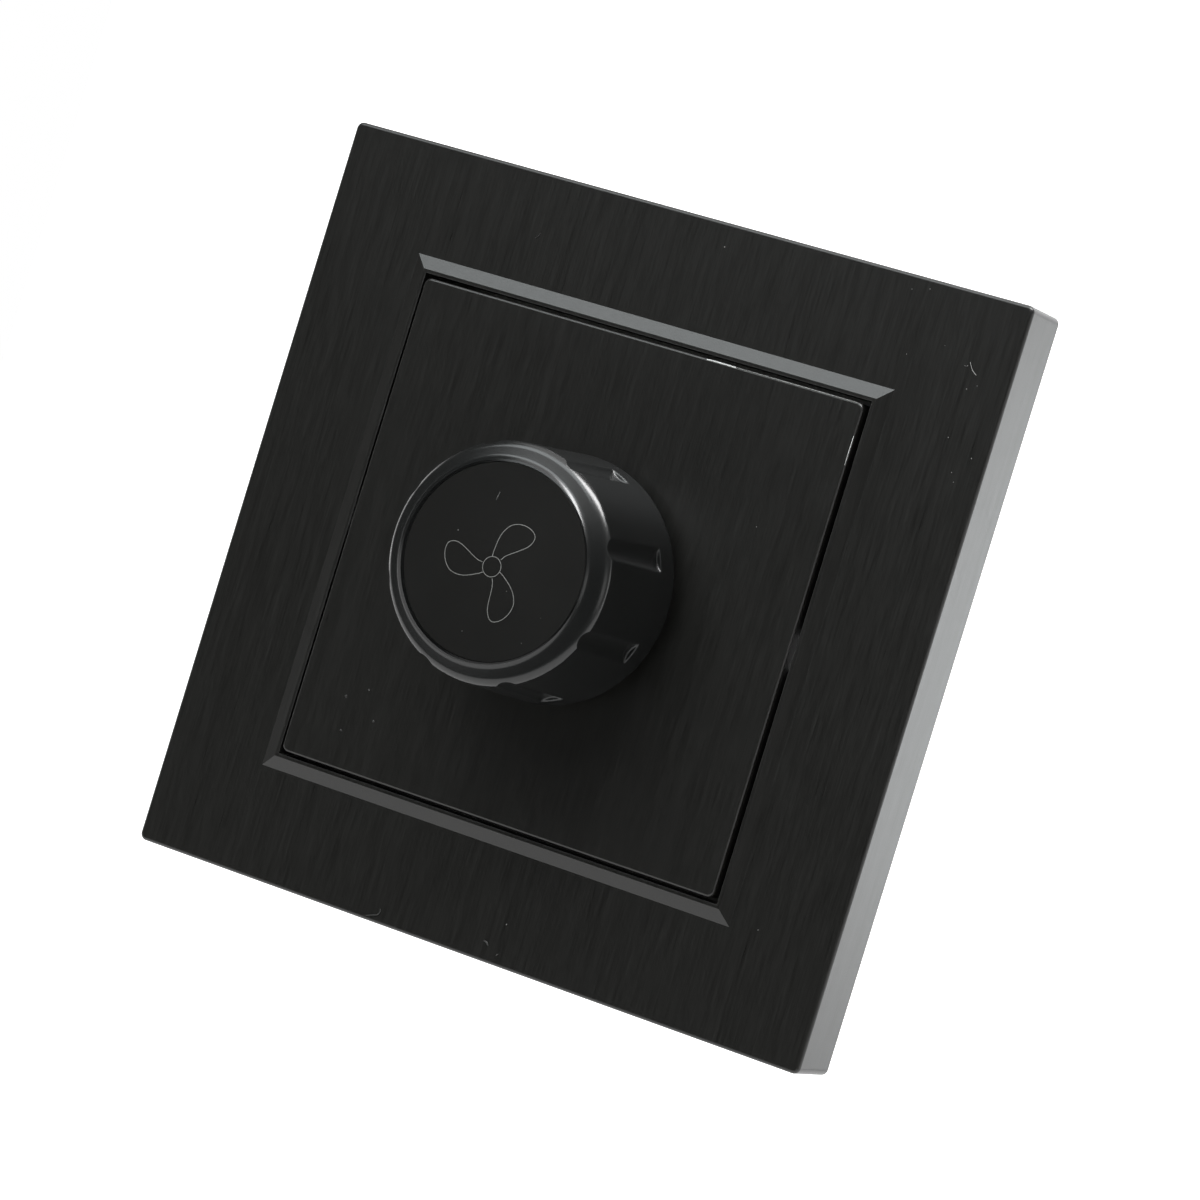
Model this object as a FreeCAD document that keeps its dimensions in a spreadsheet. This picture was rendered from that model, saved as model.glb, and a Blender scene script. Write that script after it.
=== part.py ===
"""Wall-mounted fan speed control switch for an 86 mm wall box, with its regulator module.

Frame of the part: X to the right, Z up, Y into the wall. The wall's surface is the plane y = 0,
and the origin is midway between the two fixing slots. What faces the room has negative y.
"""
import FreeCAD, Part
import math
import os
import Sketcher

doc = FreeCAD.newDocument("fan_speed_switch")
pieces = []

# Driving dimensions, in millimetres and degrees
SIZES = {
    # Wall plate
    "plate_size": 86.0,
    "plate_depth": 8.2,
    "plate_corner": 0.8,
    "plate_edge": 0.4,
    "frame_wall": 2.0,
    "frame_face": 2.0,
    "bevel_width": 1.5,
    "bevel_rise": 0.6,
    "land_width": 0.4,
    "collar_wall": 1.4,
    "collar_depth": 3.0,
    "frame_rib": 1.2,
    "rib_depth": 2.0,
    "pry_width": 8.0,
    "pry_height": 1.2,
    # Snap fingers of the wall plate
    "finger_width": 6.0,
    "finger_thick": 1.2,
    "finger_spacing": 17.0,
    "finger_end": 0.9,
    "nib_reach": 0.7,
    "nib_height": 1.4,
    "nib_width": 5.0,
    "catch_gap": 0.2,
    # Centre plate
    "centre_size": 55.9,
    "centre_rise": 1.25,
    "centre_corner": 0.8,
    "centre_edge": 0.28,
    "centre_face": 2.0,
    "centre_wall": 2.0,
    "reveal": 0.5,
    "shaft_hole": 13.0,
    "leg_width": 6.0,
    "leg_thick": 1.2,
    "leg_spacing": 24.0,
    "leg_hook": 0.7,
    "leg_inset": 0.4,
    "hook_height": 1.5,
    "head_notch": 1.6,
    "notch_land": 0.6,
    # Mounting yoke
    "yoke_inset": 4.0,
    "yoke_drop": 8.0,
    "yoke_sheet": 1.2,
    "yoke_corner": 3.0,
    "fold_depth": 4.2,
    "fold_span": 30.0,
    "fixing_spacing": 60.3,
    "slot_width": 4.2,
    "slot_length": 6.6,
    "head_room": 4.8,
    # Knob
    "knob_gap": 2.0,
    "knob_height": 16.5,
    "knob_base": 28.06,
    "knob_taper": 0.73,
    "rim_drop": 1.7,
    "rim_band": 2.48,
    "crest_land": 0.34,
    "dome_radius": 4.2,
    "shoulder_drop": 0.36,
    "shoulder_run": 0.135,
    "shoulder_radius": 0.65,
    "crest_edge": 0.22,
    "base_edge": 0.25,
    "knob_wall": 1.5,
    "wall_draft": 0.4,
    "knob_face": 1.6,
    "insert_thick": 1.1,
    "insert_recess": 0.2,
    "insert_fit": 0.04,
    "insert_edge": 0.06,
    "peg_width": 1.8,
    "peg_depth": 0.9,
    "peg_spacing": 14.0,
    "peg_gap": 0.2,
    "flute_count": 8,
    "flute_radius": 2.45,
    "flute_depth": 0.47,
    "flute_start": 3.4,
    "flute_fade": 0.16,
    "hub_width": 10.0,
    "hub_set_back": 0.8,
    "hub_slit": 1.2,
    "hub_slit_depth": 7.0,
    "knob_rib": 1.0,
    "knob_rib_depth": 5.0,
    "knob_rib_count": 6,
    "clip_sheet": 0.5,
    "clip_set_back": 1.2,
    "clip_length": 3.6,
    "clip_opening": 60.0,
    # Module cover and housing
    "module_size": 50.0,
    "module_wall": 1.6,
    "module_corner": 1.5,
    "opening_gap": 0.4,
    "cover_face": 2.0,
    "cover_lip": 1.6,
    "flange_reach": 2.0,
    "flange_thick": 1.8,
    "post_size": 6.8,
    "screw_inset": 4.2,
    "screw_radius": 1.3,
    "screw_head": 2.6,
    "screw_head_height": 2.0,
    "screw_seat": 8.0,
    "cross_width": 0.7,
    "cross_length": 3.4,
    "pilot_depth": 1.1,
    "pilot_gap": 0.2,
    "tunnel_gap": 0.3,
    "rear_wall": 1.6,
    "vent_count": 7,
    "vent_width": 1.6,
    "vent_length": 11.0,
    "vent_pitch": 4.2,
    "vent_set_back": 9.0,
    "ledge_width": 7.0,
    "ledge_reach": 1.6,
    "cell_rib": 1.2,
    "wire_entry": 5.2,
    "driver_hole": 6.4,
    # Rotary control
    "shaft_radius": 3.0,
    "shaft_flat": 1.5,
    "shaft_engagement": 10.0,
    "shaft_tail": 1.6,
    "shaft_room": 0.3,
    "tip_gap": 0.6,
    "running_gap": 0.05,
    "fit_gap": 0.1,
    "neck_radius": 3.5,
    "neck_length": 6.5,
    "neck_edge": 0.3,
    "nut_flats": 10.0,
    "nut_thick": 2.0,
    "washer_radius": 5.5,
    "washer_thick": 0.5,
    "control_radius": 8.5,
    "control_depth": 10.2,
    "control_plate": 1.2,
    "can_wall": 0.8,
    "can_floor": 1.0,
    "rotor_radius": 5.4,
    "rotor_thick": 2.4,
    "rotor_set_back": 0.4,
    "stop_reach": 7.1,
    "stop_width": 2.4,
    "stop_inner": 6.3,
    "stop_gap": 0.6,
    "turn_range": 280.0,
    "track_thick": 1.0,
    "track_set_back": 4.3,
    "track_foot": 0.5,
    "wiper_sheet": 0.3,
    "wiper_width": 1.6,
    "wiper_inset": 0.6,
    "wiper_gap": 0.3,
    "bridge_thick": 0.8,
    "bridge_hub": 1.2,
    "bridge_reach": 5.6,
    "ring_thick": 0.6,
    "ring_reach": 0.9,
    "ring_grip": 0.5,
    "ring_mouth": 4.6,
    "pin_width": 1.0,
    "pin_sheet": 0.5,
    "pin_pitch": 5.0,
    "pin_drop": 12.0,
    "pin_lap": 4.1,
    "contact_x": 3.0,
    "contact_z": 5.6,
    "contact_radius": 1.2,
    "contact_height": 0.4,
    # Circuit board, leads and working allowances
    "board_gap": 0.3,
    "board_thick": 1.6,
    "board_margin": 0.8,
    "board_notch": 6.6,
    "leg_side": 0.6,
    "lead_hole": 1.0,
    "lead_reach": 1.2,
    "lead_sink": 0.5,
    "part_seat": 0.2,
    "root_lap": 0.2,
    "overrun": 1.0,
    # Parts on the board
    "triac_width": 10.0,
    "triac_thick": 4.4,
    "triac_body": 9.2,
    "triac_tab": 6.4,
    "triac_tab_thick": 1.3,
    "triac_x": 12.0,
    "triac_z": 1.0,
    "triac_stand": 1.0,
    "triac_pitch": 2.54,
    "pad_thick": 0.2,
    "pad_margin": 0.5,
    "sink_width": 18.0,
    "sink_height": 17.0,
    "sink_base": 1.5,
    "fin_count": 5,
    "fin_thick": 1.0,
    "fin_reach": 5.0,
    "bolt_radius": 1.5,
    "bolt_head": 2.8,
    "bolt_head_height": 1.8,
    "bolt_slot": 0.8,
    "bolt_tail": 2.0,
    "capacitor_edge": 0.5,
    "lead_inset": 1.4,
    "film_width": 18.0,
    "film_thick": 7.6,
    "film_height": 15.0,
    "film_x": 8.2,
    "film_z": 16.4,
    "timing_width": 7.2,
    "timing_thick": 2.5,
    "timing_height": 6.5,
    "timing_x": 5.2,
    "timing_z": 8.8,
    "choke_x": -12.0,
    "choke_z": 9.5,
    "choke_radius": 8.0,
    "choke_bore": 4.2,
    "choke_height": 7.0,
    "winding_thick": 0.9,
    "turn_count": 20,
    "turn_gap": 0.35,
    "winding_arc": 310.0,
    "choke_leg_x": 5.5,
    "choke_leg_z": 4.5,
    "axial_lift": 0.35,
    "bend_reach": 1.2,
    "resistor_length": 6.4,
    "resistor_radius": 1.2,
    "upper_resistor_x": 9.0,
    "upper_resistor_z": 21.4,
    "lower_resistor_x": 15.0,
    "lower_resistor_z": -12.0,
    "diac_length": 4.6,
    "diac_radius": 1.3,
    "diac_x": 14.0,
    "diac_z": 8.8,
    "fuse_length": 20.0,
    "fuse_radius": 2.6,
    "fuse_x": -13.0,
    "fuse_z": -7.6,
    "clip_band": 3.0,
    "clip_band_sheet": 0.4,
    "clip_foot": 2.4,
    "fuse_lift": 0.6,
    "cap_length": 5.0,
    "cap_sheet": 0.2,
    # Terminals
    "terminal_spacing": 24.0,
    "cage_width": 8.0,
    "cage_length": 9.0,
    "cage_depth": 8.6,
    "cage_bore": 4.8,
    "cage_gap": 0.3,
    "cage_stand": 4.2,
    "tap_wall": 1.0,
    "clamp_radius": 2.0,
    "clamp_gap": 0.2,
    "clamp_lift": 0.6,
    "clamp_head": 2.8,
    "clamp_head_height": 2.0,
    "clamp_slot": 0.8,
    "tab_width": 5.0,
    "tab_sheet": 0.8,
    "tab_inset": 1.0,
    "tab_leg": 1.4,
}

sheet = doc.addObject("Spreadsheet::Sheet", "sizes")
for row, (alias, size) in enumerate(SIZES.items(), 1):
    sheet.set(f"A{row}", alias.replace("_", " "))
    sheet.set(f"B{row}", str(size))
    sheet.setAlias(f"B{row}", alias)
doc.recompute()


def value(alias):
    """The number held under an alias, for counts and for starting positions in sketches."""
    return float(getattr(sheet, alias))


# Places worked out from the sizes, written once and used by every piece that meets there
FRONT = "sizes.plate_depth"
CENTRE_FRONT = "(sizes.plate_depth + sizes.centre_rise)"
WINDOW = "(sizes.centre_size + 2 * sizes.reveal)"
BEVEL_INNER = f"({WINDOW} + 2 * sizes.land_width)"
BEVEL_OUTER = f"({BEVEL_INNER} + 2 * sizes.bevel_width)"
COLLAR_OUTER = f"({WINDOW} + 2 * sizes.collar_wall)"
CAVITY = "(sizes.plate_size - 2 * sizes.frame_wall)"
COVER_FRONT = "(sizes.yoke_sheet + sizes.cover_face)"
COVER_SIZE = "(sizes.module_size + 2 * sizes.cover_lip)"
YOKE_WIDTH = "(sizes.plate_size - 2 * sizes.yoke_inset)"
YOKE_HEIGHT = "(sizes.plate_size - 2 * sizes.yoke_drop)"
KNOB_BASE = f"({CENTRE_FRONT} + sizes.knob_gap)"
KNOB_CREST = f"({KNOB_BASE} + sizes.knob_height)"
KNOB_RIM = f"({KNOB_CREST} - sizes.rim_drop)"
RIM_WIDTH = "(sizes.knob_base - 2 * sizes.knob_taper)"
INSERT_WIDTH = f"({RIM_WIDTH} - 2 * sizes.rim_band)"
INSERT_FRONT = f"({KNOB_CREST} - sizes.insert_recess)"
INSERT_BACK = f"({INSERT_FRONT} - sizes.insert_thick)"
KNOB_CEILING = f"({INSERT_BACK} - sizes.knob_face)"
HUB_END = f"({KNOB_BASE} + sizes.hub_set_back)"
SHAFT_TIP = f"({HUB_END} + sizes.shaft_engagement)"
NECK_END = "(sizes.yoke_sheet + sizes.neck_length)"
SCREW_AT = "(sizes.module_size / 2 - sizes.screw_inset)"
ROOM = "(sizes.module_size - 2 * sizes.module_wall)"
CONTROL_BACK = "(sizes.control_depth - sizes.yoke_sheet)"
BOARD_FRONT = f"({CONTROL_BACK} + sizes.board_gap)"
BOARD_BACK = f"({BOARD_FRONT} + sizes.board_thick)"
SEAT = f"({BOARD_BACK} + sizes.part_seat)"
LEAD_END = f"({BOARD_FRONT} - sizes.lead_reach)"
TRIAC_FOOT = f"({BOARD_BACK} + sizes.triac_stand)"
TRIAC_TOP = f"({TRIAC_FOOT} + sizes.triac_body + sizes.triac_tab)"
INNER_REAR = f"({TRIAC_TOP} + sizes.triac_stand)"
REAR = f"({INNER_REAR} + sizes.rear_wall)"
CAGE_FRONT = f"({BOARD_BACK} + sizes.cage_stand)"
CAGE_AXIS = f"({CAGE_FRONT} + (sizes.cage_depth - sizes.tap_wall) / 2)"
TERMINAL_X = "(sizes.terminal_spacing / 2)"
CAGE_FOOT = f"(-{ROOM} / 2 + sizes.cage_gap)"
CAGE_MIDDLE = f"({CAGE_FOOT} + sizes.cage_length / 2)"
SINK_FRONT = "(sizes.triac_z - sizes.triac_thick / 2 - sizes.pad_thick)"
SINK_BACK = f"({SINK_FRONT} - sizes.sink_base)"
BOLT_Y = f"({TRIAC_TOP} - sizes.triac_tab / 2)"
LEG_Z = f"({ROOM} / 2 - sizes.leg_hook - sizes.fit_gap - sizes.leg_thick / 2 - sizes.leg_inset)"
PLATE_BACK = "(-sizes.yoke_sheet + sizes.control_plate)"
ROTOR_FRONT = f"({PLATE_BACK} + sizes.rotor_set_back)"
ROTOR_BACK = f"({ROTOR_FRONT} + sizes.rotor_thick)"
TRACK_FRONT = f"({PLATE_BACK} + sizes.track_set_back)"
TRACK_BACK = f"({TRACK_FRONT} + sizes.track_thick)"
CAN_RADIUS = "(sizes.control_radius - sizes.can_wall)"
CAN_FLOOR = f"({CONTROL_BACK} - sizes.can_floor)"
PIN_TURN = "(-sizes.pin_drop + sizes.leg_side / 2)"
AXIS = ("0", "0")
lead_holes = []


def keep(shape_object, label):
    """Give a finished piece its name and put it on the list of pieces."""
    shape_object.Label = label
    pieces.append(shape_object)
    return shape_object


# Sketches and features of the moulded, turned and pressed pieces
def new_body(name):
    return doc.addObject("PartDesign::Body", "body_" + name)


def origin_part(body, role):
    return next(f for f in body.Origin.OriginFeatures if f.Role == role)


def sketch_on(body, name, offset="0", plane="XZ_Plane"):
    """A sketch at a distance in front of an origin plane. The XZ plane faces the room."""
    sketch = body.newObject("Sketcher::SketchObject", name)
    sketch.AttachmentSupport = (origin_part(body, plane), [""])
    sketch.MapMode = "FlatFace"
    sketch.setExpression(".AttachmentOffset.Base.z", offset)
    return sketch


def worked_out(sketch, expression):
    return float(sketch.evalExpression(expression))


def hold(sketch, kind, *where, to):
    """Add one dimension to a sketch and bind it to an expression."""
    index = sketch.addConstraint(Sketcher.Constraint(kind, *where, worked_out(sketch, to)))
    name = f"dimension_{index}"
    sketch.renameConstraint(index, name)
    sketch.setExpression(f"Constraints.{name}", to)


def bow(start, end, radius):
    """The arc from one spot to the next, anticlockwise about its centre, as sketches keep arcs."""
    chord = end - start
    middle = (start + end) * 0.5
    aside = FreeCAD.Vector(-chord.y, chord.x, 0).normalize()
    centre = middle + aside * math.sqrt(radius ** 2 - (chord.Length / 2) ** 2)
    first, last = (math.atan2(spot.y - centre.y, spot.x - centre.x) for spot in (start, end))
    return Part.ArcOfCircle(Part.Circle(centre, FreeCAD.Vector(0, 0, 1), radius), first, last)


def outline(sketch, points, arcs=None):
    """A closed outline through points given as expressions. Edges named in arcs bulge outwards."""
    arcs = arcs or {}
    count = len(points)
    start = sketch.GeometryCount
    spots = [FreeCAD.Vector(*(worked_out(sketch, part) for part in point), 0) for point in points]
    for i in range(count):
        ends = spots[i], spots[(i + 1) % count]
        if i in arcs:
            sketch.addGeometry(bow(*ends, worked_out(sketch, arcs[i])), False)
        else:
            sketch.addGeometry(Part.LineSegment(*ends), False)
    for i in range(count):
        after = start + (i + 1) % count
        sketch.addConstraint(Sketcher.Constraint("Coincident", start + i, 2, after, 1))
    for i, (x, y) in enumerate(points):
        hold(sketch, "DistanceX", -1, 1, start + i, 1, to=x)
        hold(sketch, "DistanceY", -1, 1, start + i, 1, to=y)
    for i, radius in arcs.items():
        hold(sketch, "Radius", start + i, to=radius)


def rectangle(sketch, width, height, x="0", y="0"):
    left, right = f"({x}) - ({width}) / 2", f"({x}) + ({width}) / 2"
    low, high = f"({y}) - ({height}) / 2", f"({y}) + ({height}) / 2"
    outline(sketch, [(left, low), (right, low), (right, high), (left, high)])


def circle(sketch, radius, x="0", y="0"):
    start = sketch.GeometryCount
    centre = FreeCAD.Vector(worked_out(sketch, x), worked_out(sketch, y), 0)
    sketch.addGeometry(Part.Circle(centre, FreeCAD.Vector(0, 0, 1), worked_out(sketch, radius)), False)
    hold(sketch, "DistanceX", -1, 1, start, 3, to=x)
    hold(sketch, "DistanceY", -1, 1, start, 3, to=y)
    hold(sketch, "Radius", start, to=radius)


def slot_hole(sketch, length, width, x):
    """A slot with round ends that runs along the sketch's first axis, at the height of the origin."""
    start = sketch.GeometryCount
    middle, r = worked_out(sketch, x), worked_out(sketch, f"({width}) / 2")
    half = worked_out(sketch, f"(({length}) - ({width})) / 2")
    up, down = math.pi / 2, -math.pi / 2
    right, left = FreeCAD.Vector(middle + half, 0, 0), FreeCAD.Vector(middle - half, 0, 0)
    normal = FreeCAD.Vector(0, 0, 1)
    rise = FreeCAD.Vector(0, r, 0)
    sketch.addGeometry(Part.ArcOfCircle(Part.Circle(right, normal, r), down, up), False)
    sketch.addGeometry(Part.LineSegment(right + rise, left + rise), False)
    sketch.addGeometry(Part.ArcOfCircle(Part.Circle(left, normal, r), up, up + math.pi), False)
    sketch.addGeometry(Part.LineSegment(left - rise, right - rise), False)
    for i in range(4):
        after = start + (i + 1) % 4
        sketch.addConstraint(Sketcher.Constraint("Tangent", start + i, 2, after, 1))
    sketch.addConstraint(Sketcher.Constraint("PointOnObject", start, 3, -1))
    sketch.addConstraint(Sketcher.Constraint("Horizontal", start + 1))
    sketch.addConstraint(Sketcher.Constraint("Horizontal", start + 3))
    hold(sketch, "Radius", start, to=f"({width}) / 2")
    hold(sketch, "DistanceX", -1, 1, start, 3, to=f"({x}) + (({length}) - ({width})) / 2")
    hold(sketch, "DistanceX", -1, 1, start + 2, 3, to=f"({x}) - (({length}) - ({width})) / 2")


def head_notch(sketch, edge, least):
    """A notch in from an edge, at least so deep, and clear of the fixing screw's head."""
    inner = f"min(sizes.fixing_spacing / 2 - sizes.head_room; {edge} - ({least}))"
    outer = f"({edge} + sizes.overrun)"
    rectangle(sketch, f"{outer} - {inner}", "2 * sizes.head_room", f"({outer} + {inner}) / 2", "0")


def feature(body, kind, name, **settings):
    made = body.newObject("PartDesign::" + kind, name)
    for key, setting in settings.items():
        setattr(made, key, setting)
    return made


def pad(body, sketch, length, back=False):
    """Raise a sketch towards the room, or towards the wall where back is set."""
    made = feature(body, "Pad", sketch.Name + "_pad", Profile=sketch, Reversed=back)
    made.setExpression("Length", length)
    return made


def pocket(body, sketch, length, out=False):
    """Cut from a sketch towards the wall, or towards the room where out is set."""
    made = feature(body, "Pocket", sketch.Name + "_pocket", Profile=sketch, Reversed=out)
    made.setExpression("Length", length)
    return made


def turned(body, sketch, kind="Revolution"):
    """Turn a half section, drawn with its axis on the sketch's second axis, about that axis."""
    axis = (sketch, ["V_Axis"])
    return feature(body, kind, sketch.Name + "_turned", Profile=sketch, ReferenceAxis=axis, Angle=360)


def around(body, originals, count, axis="Y_Axis"):
    made = feature(body, "PolarPattern", originals[-1].Name + "_around", Originals=originals)
    made.Axis = (origin_part(body, axis), [""])
    made.Angle = 360
    made.setExpression("Occurrences", count)
    body.Tip = made
    return made


def mirrored(body, originals, plane="YZ_Plane"):
    made = feature(body, "Mirrored", originals[-1].Name + "_mirrored", Originals=originals)
    made.MirrorPlane = (origin_part(body, plane), [""])
    body.Tip = made
    return made


def edges_where(solid, test):
    """Names of the edges all of whose sampled points pass a test."""
    names = []
    for number, edge in enumerate(solid.Shape.Edges, 1):
        first, last = edge.ParameterRange
        spots = [edge.valueAt(first + (last - first) * share) for share in (0, 0.3, 0.7, 1)]
        if all(test(spot) for spot in spots):
            names.append(f"Edge{number}")
    return names


def soften(body, base, test, radius, kind="Fillet"):
    """Round the edges that pass a test."""
    doc.recompute()
    made = feature(body, kind, base.Name + "_soft", Base=(base, edges_where(base, test)))
    made.setExpression("Radius" if kind == "Fillet" else "Size", radius)
    return made


def near(number, target, slack=0.02):
    return abs(number - target) < slack


# Simple solids of the electrical pieces
TURN = {
    "X": FreeCAD.Rotation(FreeCAD.Vector(0, 1, 0), 90),
    "Y": FreeCAD.Rotation(FreeCAD.Vector(1, 0, 0), -90),
    "Z": FreeCAD.Rotation(),
}


def place(item, x, y, z):
    item.setExpression(".Placement.Base.x", x)
    item.setExpression(".Placement.Base.y", y)
    item.setExpression(".Placement.Base.z", z)


def block(name, x, y, z):
    """A box between pairs of lowest and highest places."""
    item = doc.addObject("Part::Box", name)
    item.setExpression("Length", f"({x[1]}) - ({x[0]})")
    item.setExpression("Width", f"({y[1]}) - ({y[0]})")
    item.setExpression("Height", f"({z[1]}) - ({z[0]})")
    place(item, x[0], y[0], z[0])
    return item


def span(middle, width):
    return f"({middle}) - ({width}) / 2", f"({middle}) + ({width}) / 2"


def rod(name, axis, radius, ends, across):
    """A round bar along an axis, between two places on it, at the two other coordinates."""
    item = doc.addObject("Part::Cylinder", name)
    item.Placement = FreeCAD.Placement(FreeCAD.Vector(), TURN[axis])
    item.setExpression("Radius", radius)
    item.setExpression("Height", f"({ends[1]}) - ({ends[0]})")
    spots = list(across)
    spots.insert("XYZ".index(axis), ends[0])
    place(item, *spots)
    return item


def cut(name, base, tool):
    item = doc.addObject("Part::Cut", name)
    item.Base, item.Tool = base, tool
    return item


def fuse(name, *shapes):
    item = doc.addObject("Part::MultiFuse", name)
    item.Shapes = list(shapes)
    item.Refine = True
    return item


def group(name, *shapes):
    item = doc.addObject("Part::Compound", name)
    item.Links = list(shapes)
    return item


def tube(name, axis, outer, inner, ends, across):
    shell = rod(name + "_outer", axis, outer, ends, across)
    return cut(name, shell, rod(name + "_bore", axis, inner, ends, across))


def lead(name, x, z, start, end=LEAD_END):
    """A square lead through the board, whose hole is cut later at the same place."""
    lead_holes.append((x, z))
    return block(name, span(x, "sizes.leg_side"), (end, start), span(z, "sizes.leg_side"))


# Wall plate: a shallow tray with a raised, mitred bevel round its window
def make_front_frame():
    body = new_body("front_frame")
    tray = sketch_on(body, "frame_outline")
    rectangle(tray, "sizes.plate_size", "sizes.plate_size")
    solid = pad(body, tray, FRONT)
    half = value("plate_size") / 2
    front = -value("plate_depth")
    solid = soften(body, solid, lambda p: near(abs(p.x), half) and near(abs(p.z), half), "sizes.plate_corner")

    def front_edge(p):
        return near(p.y, front) and max(abs(p.x), abs(p.z)) > half - value("plate_corner")

    solid = soften(body, solid, front_edge, "sizes.plate_edge")
    foot = sketch_on(body, "bevel_foot", f"{FRONT} - sizes.root_lap")
    rectangle(foot, BEVEL_OUTER, BEVEL_OUTER)
    low = sketch_on(body, "bevel_low", FRONT)
    rectangle(low, BEVEL_OUTER, BEVEL_OUTER)
    high = sketch_on(body, "bevel_high", f"{FRONT} + sizes.bevel_rise")
    rectangle(high, BEVEL_INNER, BEVEL_INNER)
    pad(body, foot, "sizes.root_lap")
    feature(body, "AdditiveLoft", "bevel", Profile=low, Sections=[high], Ruled=True)
    cavity = sketch_on(body, "frame_cavity")
    rectangle(cavity, CAVITY, CAVITY)
    pocket(body, cavity, f"{FRONT} - sizes.frame_face", out=True)
    collar = sketch_on(body, "window_collar", f"{FRONT} - sizes.collar_depth")
    rectangle(collar, COLLAR_OUTER, COLLAR_OUTER)
    pad(body, collar, "sizes.collar_depth")
    window = sketch_on(body, "window")
    rectangle(window, WINDOW, WINDOW)
    pocket(body, window, f"{FRONT} + sizes.bevel_rise + sizes.overrun", out=True)

    # Ribs that stiffen the face between the collar and the side walls
    rib = sketch_on(body, "frame_ribs", f"{FRONT} - sizes.frame_face")
    reach = f"({CAVITY} - {COLLAR_OUTER}) / 2 + 2 * sizes.root_lap"
    middle = f"({CAVITY} + {COLLAR_OUTER}) / 4"
    for side in ("", "-"):
        rectangle(rib, "sizes.frame_rib", reach, f"{side}({COLLAR_OUTER} / 2 - sizes.frame_rib)", middle)
    ribs = pad(body, rib, "sizes.rib_depth", back=True)
    around(body, [ribs], "4")

    # Snap fingers that grip the folded flanges of the yoke, two on each side
    inner = f"({YOKE_WIDTH} / 2 + sizes.fit_gap)"
    outer = f"({inner} + sizes.finger_thick)"
    finger = sketch_on(body, "finger", f"{FRONT} - sizes.frame_face + sizes.root_lap")
    for side in ("", "-"):
        rectangle(finger, "sizes.finger_thick", "sizes.finger_width",
                  f"({inner} + {outer}) / 2", f"{side}sizes.finger_spacing / 2")
    finger_length = f"{FRONT} - sizes.frame_face + sizes.root_lap - sizes.finger_end"
    fingers = pad(body, finger, finger_length, back=True)
    nib = sketch_on(body, "nib", "sizes.yoke_sheet + sizes.nib_height + 2 * sizes.catch_gap")
    for side in ("", "-"):
        rectangle(nib, "sizes.nib_reach + sizes.finger_thick", "sizes.nib_width",
                  f"{outer} - (sizes.nib_reach + sizes.finger_thick) / 2",
                  f"{side}sizes.finger_spacing / 2")
    nibs = pad(body, nib, "sizes.nib_height", back=True)
    around(body, [fingers, nibs], "2")

    # Notch in the bottom wall for the screwdriver that lifts the plate off
    notch = sketch_on(body, "pry_notch", "-sizes.plate_size / 2 - sizes.overrun", "XY_Plane")
    rectangle(notch, "sizes.pry_width", "sizes.pry_height * 2", "0", "0")
    pocket(body, notch, "sizes.frame_wall + 2 * sizes.overrun", out=True)
    return keep(body, "front_frame")


# Centre plate: a shallow cap whose four legs hook behind the module's front
def make_centre_plate():
    body = new_body("centre_plate")
    cap = sketch_on(body, "cap_outline", COVER_FRONT)
    rectangle(cap, "sizes.centre_size", "sizes.centre_size")
    solid = pad(body, cap, f"{CENTRE_FRONT} - {COVER_FRONT}")
    half = value("centre_size") / 2
    front = -value("plate_depth") - value("centre_rise")
    solid = soften(body, solid, lambda p: near(abs(p.x), half) and near(abs(p.z), half), "sizes.centre_corner")
    soften(body, solid, lambda p: near(p.y, front), "sizes.centre_edge")
    inside = "sizes.centre_size - 2 * sizes.centre_wall"
    hollow = sketch_on(body, "cap_hollow", COVER_FRONT)
    rectangle(hollow, inside, inside)
    pocket(body, hollow, f"{CENTRE_FRONT} - {COVER_FRONT} - sizes.centre_face", out=True)
    hole = sketch_on(body, "shaft_hole", CENTRE_FRONT)
    circle(hole, "sizes.shaft_hole / 2")
    pocket(body, hole, "sizes.centre_face + sizes.overrun")

    # Legs with hooks, two along each of the upper and lower edges
    leg_root = f"{CENTRE_FRONT} - sizes.centre_face + sizes.root_lap"
    hook_end = "sizes.yoke_sheet - sizes.fit_gap - sizes.hook_height"
    leg = sketch_on(body, "leg", leg_root)
    for side in ("", "-"):
        rectangle(leg, "sizes.leg_width", "sizes.leg_thick", f"{side}sizes.leg_spacing / 2", LEG_Z)
    legs = pad(body, leg, f"({leg_root}) - ({hook_end})", back=True)
    hook = sketch_on(body, "leg_hook", "sizes.yoke_sheet - sizes.fit_gap")
    for side in ("", "-"):
        rectangle(hook, "sizes.leg_width", "sizes.leg_thick + sizes.leg_hook",
                  f"{side}sizes.leg_spacing / 2", f"{LEG_Z} + sizes.leg_hook / 2")
    hooks = pad(body, hook, "sizes.hook_height", back=True)
    around(body, [legs, hooks], "2")

    # Room for the heads of the two fixing screws
    heads = sketch_on(body, "screw_head_notch", COVER_FRONT)
    head_notch(heads, "sizes.centre_size / 2", "sizes.centre_wall + sizes.notch_land")
    notch = pocket(body, heads, "sizes.head_notch", out=True)
    around(body, [notch], "2")
    return keep(body, "centre_plate")


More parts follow.
